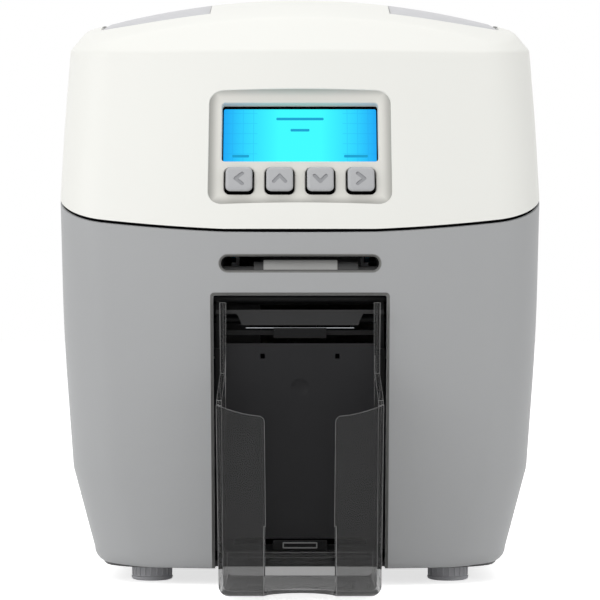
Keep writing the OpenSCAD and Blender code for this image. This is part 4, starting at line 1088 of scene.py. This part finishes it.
class PRINTER_OT_hopper(bpy.types.Operator):
    """Makes the clear smoked card tray, the dark door behind it and its latch."""

    bl_idname = "printer.hopper"
    bl_label = "Card hopper"

    def execute(self, context):
        self.tray()
        self.door()
        self.latch()
        self.exit_guide()
        return {"FINISHED"}

    def tray(self):
        """Clear tray: a block with all its rooms and gaps cut out, then every edge rounded and given a pale
        painted highlight.
        """
        half, floor, door_foot = TRAY_HIGH[0], TRAY_LOW[2], DOOR_LOW[2]
        tray = prism("card_tray_clear", tray_outline(0, TRAY_HIGH[2]), on_front, FRONT_Y - TRAY_HIGH[1],
                     TRAY_REACH)
        before = -TRAY_REACH - 5
        above = np.array([(before, LIP_Z - 0.9), (-6, 88), (-3.4, 92), (-3, 96), (-3, 140), (before, 140)])
        low_gap = (FINGER_HALF_W - 0.7, floor + TRAY_WALL)
        gap = lip_side(1) + [low_gap, (-low_gap[0], low_gap[1])] + lip_side(-1)[::-1]
        cut(tray, [
            prism("above", above, sideways, -60, 60),
            block("behind", (-60, FRONT_Y + 1, -5), (60, FRONT_Y + 20, door_foot - 7.2)),
            prism("room", tray_outline(TRAY_WALL, 150), on_front, 3.0, TRAY_REACH - TRAY_WALL),
            block("arms", (-half + 2.7, FRONT_Y - 3.5, door_foot - 4.7), (half - 2.7, FRONT_Y + 20, 140)),
            block("door", (DOOR_LOW[0] - 0.3, FRONT_Y + 4.1, door_foot - 0.3),
                  (DOOR_HIGH[0] + 0.3, FRONT_Y + 20, 140)),
            prism("lips", gap, on_front, TRAY_REACH - 7, TRAY_REACH + 5),
            prism("finger_notch", circle(NOTCH_R, 64) + (0, TRAY_LOW[1] - 3.4), at_z, -5, 30),
        ])
        tray.data.materials.append(MATERIALS["smoked_plastic"])
        # The rounded edges get the pale second finish, a painted highlight
        tray.data.materials.append(MATERIALS["smoked_edge"])
        bevelled(tray, 0.5, material=1)
        dress(tray, "smoked_plastic", "chassis", ["card_tray"], keep=True)

    def exit_guide(self):
        """Black guide plate in front of the exit roller, with sloped ends, and a bright rail under it."""
        top, foot = 112.4, 107.6
        half = [(35, top + 1.6), (35, top), (26.4, top), (24.8, top - 3), (24.4, foot)]
        edge = half + [(-x, z) for x, z in reversed(half)]
        plate = prism("exit_guide", edge, on_front, -10.9, -9.6)
        dress(plate, "dark_plastic", "chassis", material="guide_black")
        rail = turned("exit_rail", [(-22.5, 0.22), (22.5, 0.22)], FRONT_Y + 9.7, foot - 1.1, 12)
        dress(rail, "steel", "chassis")

    def door(self):
        """Dark door plate with a shallow finger dish, two slots and a sunk grip."""
        low, high = DOOR_LOW, DOOR_HIGH
        middle_z, w, h = (low[2] + high[2]) / 2, high[0] - low[0], high[2] - low[2]
        front, rear = FRONT_Y - low[1], FRONT_Y - high[1]
        levels = [(-0.4, rear), (0, rear + 0.4), (0, front - 0.4), (-0.12, front - 0.12), (-0.4, front)]
        plate = stack("hopper_door_plate", lambda grow: round_rect(w, h, 1.2, grow, 0, middle_z), levels,
                      on_front)
        rings = []
        for d in (-DISH_DEPTH, -0.8, -0.6, -0.35, 0.0, 0.4):
            r = max(0.3, math.sqrt(DISH_R ** 2 - (DISH_R - DISH_DEPTH - d) ** 2))
            rings.append(on_front(circle(r, 48) + (0, high[2] - 18.3), front + d))
        cutters = [capped_piece("dish", rings)]
        for s in (-1, 1):
            cutters.append(stack(
                "slot", lambda grow, s=s: round_rect(1.7, 1.9, 0.3, grow, s * 15.5, high[2] - 5.4),
                [(0, rear - 1), (0, front - 0.2), (0.5, front + 0.5)], on_front))
        half = [(9, low[2] + 18), (9.9, low[2] + 16.6), (11, low[2] + 0.9)]
        grip = half + [(-x, z) for x, z in reversed(half)]
        cut(plate, cutters + [prism("grip", grip, on_front, front - 0.3, front + 1)])
        even_shading(plate)
        dress(plate, "smoked_plastic", "hopper_door", ["hopper_door"], material="smoked_door")

    def latch(self):
        """Latch bar under the door with a paler frame on its face."""
        low, high = LATCH_LOW, LATCH_HIGH
        middle_z, w, h = (low[2] + high[2]) / 2, high[0] - low[0], high[2] - low[2]
        front, rear = FRONT_Y - low[1], FRONT_Y - high[1]
        bar = stack("hopper_latch_bar", lambda grow: round_rect(w, h, 0.6, grow, 0, middle_z),
                    [(0, rear), (0, front - 0.6), (-0.3, front - 0.3)], on_front)
        dress(bar, "dark_plastic", "chassis", ["hopper_latch"], material="mouth_black")
        rim = hoop("latch_frame", lambda grow: round_rect(14.4, 2.6, 0.5, grow, 0, middle_z),
                   ((0, front - 0.35), (0, front), (-0.55, front), (-0.55, front - 0.35)), on_front)
        dress(rim, "dark_plastic", "chassis", material="latch_grey")


class PRINTER_OT_feed_roller(bpy.types.Operator):
    """Makes the pale roller in the hand feed slot, on its darker core and shaft; the roller's glow is painted
    light.
    """

    bl_idname = "printer.feed_roller"
    bl_label = "Feed roller"

    def execute(self, context):
        low, high = node_box("entry_roller")
        y, z = (low[1] + high[1]) / 2, (low[2] + high[2]) / 2
        sleeve = [(-15.2, 3.0), (-15.2, 3.9), (-14.9, 4.2), (15.3, 4.2), (15.6, 3.9), (15.6, 3.0)]
        core = [(low[0], 0.5), (low[0], 1.6), (-19.2, 1.6), (-19.2, 3.5), (24.2, 3.5), (24.2, 1.6),
                (high[0], 1.6), (high[0], 0.5)]
        sleeve = turned("feed_roller_sleeve", sleeve, y, z, 48, 35)
        dress(sleeve, "roller_grey", "entry_roller", ["entry_roller"])
        core = turned("feed_roller_core", core, y, z, 48, 35)
        dress(core, "roller_grey", "entry_roller", material="roller_core")
        return {"FINISHED"}


class PRINTER_OT_base(bpy.types.Operator):
    """Rounds the lower edge of the black base that shows under the casing's corners."""

    bl_idname = "printer.base"
    bl_label = "Base"

    def execute(self, context):
        # The edge becomes a quarter of an ellipse
        deep, tall = 2.2, 1.4
        low, high = node_box("base_tray")
        piece = link("base_rounded", NODES["base_tray"].data.copy())
        bm = bmesh.new()
        bm.from_mesh(piece.data)
        bmesh.ops.remove_doubles(bm, verts=bm.verts, dist=1e-6)
        for up in (0.3, 0.7, 1.1):
            geom = bm.verts[:] + bm.edges[:] + bm.faces[:]
            bmesh.ops.bisect_plane(bm, geom=geom, plane_co=(0, 0, (low[2] + up) * MM), plane_no=(0, 0, 1))
        for vert in bm.verts:
            up = vert.co.z / MM - low[2]
            if up < tall:
                limit = (high[0] - deep * (1 - math.sqrt(1 - (1 - up / tall) ** 2))) * MM
                vert.co.x = max(-limit, min(limit, vert.co.x))
        bm.to_mesh(piece.data)
        bm.free()
        soften(piece)
        dress(piece, "dark_plastic", "chassis", ["base_tray"])
        return {"FINISHED"}


FOOT_R = 8.7
FOOT_PLACES = [(s * 62.6, y, 0) for s in (-1, 1) for y in (FRONT_Y + 28, REAR_Y - 34)]


class PRINTER_OT_feet(bpy.types.Operator):
    """Makes the four round feet with moulded ribs, from one kind of Geometry Nodes tree."""

    bl_idname = "printer.feet"
    bl_label = "Feet"

    def execute(self, context):
        r, h = FOOT_R, node_box("rubber_feet")[1][2]
        profile = [(2.2, 3.0), (3.4, 3.0), (3.4, 0.35), (3.8, 0), (r - 1.2, 0), (r - 0.35, 0.3), (r, 1.1),
                   (r, 1.6), (r - 0.5, 1.8), (r - 0.5, h - 1.0), (r - 1.0, h - 0.02), (2.2, h - 0.02)]
        foot = tube_piece("foot", [at_z(circle(rad, 40), z) for rad, z in profile], 35)
        feet = ring_of(foot, "rubber_feet_round", FOOT_PLACES, 1, MATERIALS["foot_rubber"])
        dress(feet, "rubber", "chassis", ["rubber_feet"], material="foot_rubber")
        section = round_rect(0.7, 0.5, 0.2, 0, 0, -r + 0.45, 2)
        rib = capped_piece("rib", [at_z(section, 2.0), at_z(section, h - 1.3)])
        ribs = ring_of(rib, "foot_ribs", FOOT_PLACES, 20, MATERIALS["foot_rubber"])
        dress(ribs, "rubber", "chassis", material="foot_rubber")
        return {"FINISHED"}


def ring_of(master, name, places, count, material):
    """Copies of a master piece turned round the upright axis, count at each place, as one mesh."""
    tree = bpy.data.node_groups.new("ring_of_copies", "GeometryNodeTree")
    sockets = {"Geometry": "NodeSocketGeometry", "Copy": "NodeSocketObject", "Count": "NodeSocketInt",
               "Material": "NodeSocketMaterial"}
    keys = {label: tree.interface.new_socket(label, in_out="INPUT", socket_type=kind).identifier
            for label, kind in sockets.items()}
    tree.interface.new_socket("Geometry", in_out="OUTPUT", socket_type="NodeSocketGeometry")
    given = add(tree, "NodeGroupInput").outputs
    copy = add(tree, "GeometryNodeObjectInfo", {"Object": given["Copy"]})
    line = add(tree, "GeometryNodeMeshLine", {"Count": given["Count"], "Offset": (0, 0, 0)})
    index = add(tree, "GeometryNodeInputIndex")
    share = add(tree, "ShaderNodeMath", {0: index.outputs[0], 1: given["Count"]}, operation="DIVIDE")
    angle = add(tree, "ShaderNodeMath", {0: share.outputs[0], 1: 2 * math.pi}, operation="MULTIPLY")
    turn = add(tree, "ShaderNodeCombineXYZ", {"Z": angle.outputs[0]})
    one = add(tree, "GeometryNodeInstanceOnPoints", {
        "Points": line.outputs[0], "Instance": copy.outputs["Geometry"], "Rotation": turn.outputs[0]})
    everywhere = add(tree, "GeometryNodeInstanceOnPoints", {
        "Points": given["Geometry"], "Instance": one.outputs[0]})
    real = add(tree, "GeometryNodeRealizeInstances", {"Geometry": everywhere.outputs[0]})
    coloured = add(tree, "GeometryNodeSetMaterial", {
        "Geometry": real.outputs[0], "Material": given["Material"]})
    add(tree, "NodeGroupOutput", {0: coloured.outputs[0]})
    mesh = bpy.data.meshes.new(name)
    mesh.from_pydata([tuple(np.asarray(p, dtype=float) * MM) for p in places], [], [])
    holder = link(name, mesh)
    mod = holder.modifiers.new("copies", "NODES")
    mod.node_group = tree
    for label, value in (("Copy", master), ("Count", count), ("Material", material)):
        mod[keys[label]] = value
    bake(holder)
    bpy.data.objects.remove(master, do_unlink=True)
    soften(holder, 35)
    return holder


class PRINTER_OT_mechanism(bpy.types.Operator):
    """Gives every CAD node that stays its finish."""

    bl_idname = "printer.mechanism"
    bl_label = "Mechanism finishes"

    def execute(self, context):
        finishes = {
            "dark_plastic": "rear_panel lcd_module printhead_carrier power_inlet",
            # Painted shade: the parts deep in the mouth, the steel rods too, are coloured near black
            "mouth_black": "entry_roller_bracket card_magazine exit_bracket exit_roller chassis_rods",
            "deck_plastic": "deck",
            "frame_white": "lid_inner_frame",
            "board_green": "control_board main_board",
            "rubber": "pick_roller platen_roller front_transport_roller rear_transport_roller",
            "zinc_plate": "chassis_left chassis_right power_supply usb_socket ethernet_socket",
            "steel": "idler_axles hinge_pins foot_screws",
            "gear_nylon": "platen_gear front_transport_gear rear_transport_gear front_idler_gear "
                          "rear_idler_gear",
            "brass": "motor_pinion",
            "motor_black": "feed_motor",
            "film": "supply_spool takeup_spool ribbon_film",
            "aluminium": "printhead heat_sink",
        }
        for material, nodes in finishes.items():
            for name in nodes.split():
                dress_node(name, material)
        return {"FINISHED"}


class PRINTER_OT_stage(bpy.types.Operator):
    """Pale floor, soft studio light and the camera at the photograph's angle."""

    bl_idname = "printer.stage"
    bl_label = "Stage"

    def execute(self, context):
        scene = context.scene
        mesh = bpy.data.meshes.new("studio_floor")
        mesh.from_pydata([(-6, -6, 0), (6, -6, 0), (6, 6, 0), (-6, 6, 0)], [], [(0, 1, 2, 3)])
        mesh.materials.append(floor_paper("white_paper_floor", "#EDEDED"))
        link("studio_floor", mesh)
        scene.world = bpy.data.worlds.new("studio")
        scene.world.use_nodes = True
        tree = scene.world.node_tree
        tree.nodes.clear()
        white = (1, 1, 1, 1)
        lit = add(tree, "ShaderNodeBackground", {"Color": white, "Strength": 0.55})
        shown = add(tree, "ShaderNodeBackground", {"Color": white, "Strength": 1.0})
        both = add(tree, "ShaderNodeMixShader", {0: seen_ray(tree), 1: lit.outputs[0], 2: shown.outputs[0]})
        add(tree, "ShaderNodeOutputWorld", {"Surface": both.outputs[0]})
        # Name, place in metres, size in metres and power in watts
        for name, place, width, power in (
                ("key", (-1.4, -1.1, 1.3), 1.6, 14), ("fill", (1.6, -1.0, 0.7), 1.8, 7),
                ("top", (0, 0.1, 1.9), 1.6, 10), ("low side", (-1.4, -1.4, 0.12), 1.2, 4)):
            lamp = bpy.data.lights.new(name, "AREA")
            lamp.shape, lamp.size, lamp.energy = "SQUARE", width, power
            item = link(name, lamp)
            item.location = place
            aim = Vector((0, 0, 0.12)) - item.location
            item.rotation_euler = aim.to_track_quat("-Z", "Y").to_euler()
        camera = bpy.data.cameras.new("photo_camera")
        camera.lens, camera.sensor_width, camera.clip_end = 156, 36, 50
        item = link("photo_camera", camera)
        item.location = (0, FRONT_Y * MM - 1.0734, 0.1181)
        item.rotation_euler = (math.pi / 2, 0, 0)
        scene.camera = item
        scene.view_settings.view_transform = "Standard"
        return {"FINISHED"}


def seen_ray(tree):
    """One for camera, glossy and transmission rays, nought for light that reaches the object."""
    path = add(tree, "ShaderNodeLightPath").outputs
    first = add(tree, "ShaderNodeMath", {0: path["Is Camera Ray"], 1: path["Is Glossy Ray"]},
                operation="MAXIMUM")
    return add(tree, "ShaderNodeMath", {0: first.outputs[0], 1: path["Is Transmission Ray"]},
               operation="MAXIMUM").outputs[0]


def floor_paper(name, hue):
    """White paper: it keeps the shadow and shows a touch of white glow to the camera."""
    material, tree = blank(name)
    paper = add(tree, "ShaderNodeBsdfDiffuse", {"Color": linear(hue)})
    glow = add(tree, "ShaderNodeEmission", {"Strength": 0.7})
    extra = add(tree, "ShaderNodeAddShader", {0: paper.outputs[0], 1: glow.outputs[0]})
    show(tree, add(tree, "ShaderNodeMixShader", {
        0: seen_ray(tree), 1: paper.outputs[0], 2: extra.outputs[0]}))
    return material


class PRINTER_PT_panel(bpy.types.Panel):
    """Lists the printer's operators and sizes."""

    bl_idname = "PRINTER_PT_panel"
    bl_label = "Card printer"
    bl_space_type = "VIEW_3D"
    bl_region_type = "UI"
    bl_category = "Card printer"

    def draw(self, context):
        for operator in OPERATORS:
            self.layout.operator(operator.bl_idname)
        for group in (context.scene.printer_sizes, context.scene.printer_colours):
            for key in group.__annotations__:
                self.layout.prop(group, key)


OPERATORS = (PRINTER_OT_stage, PRINTER_OT_casing, PRINTER_OT_lid, PRINTER_OT_top_panel,
             PRINTER_OT_control_panel, PRINTER_OT_hopper, PRINTER_OT_feed_roller, PRINTER_OT_base,
             PRINTER_OT_feet, PRINTER_OT_mechanism)
CLASSES = (PrinterSizes, PrinterColours) + OPERATORS + (PRINTER_PT_panel,)


def register():
    for item in CLASSES:
        bpy.utils.register_class(item)
    bpy.types.Scene.printer_sizes = bpy.props.PointerProperty(type=PrinterSizes)
    bpy.types.Scene.printer_colours = bpy.props.PointerProperty(type=PrinterColours)


def unregister():
    del bpy.types.Scene.printer_sizes
    del bpy.types.Scene.printer_colours
    for item in reversed(CLASSES):
        bpy.utils.unregister_class(item)


def main():
    register()
    make_materials(bpy.context.scene.printer_colours)
    for operator in OPERATORS:
        group, name = operator.bl_idname.split(".")
        getattr(getattr(bpy.ops, group), name)()


if __name__ == "__main__":
    main()
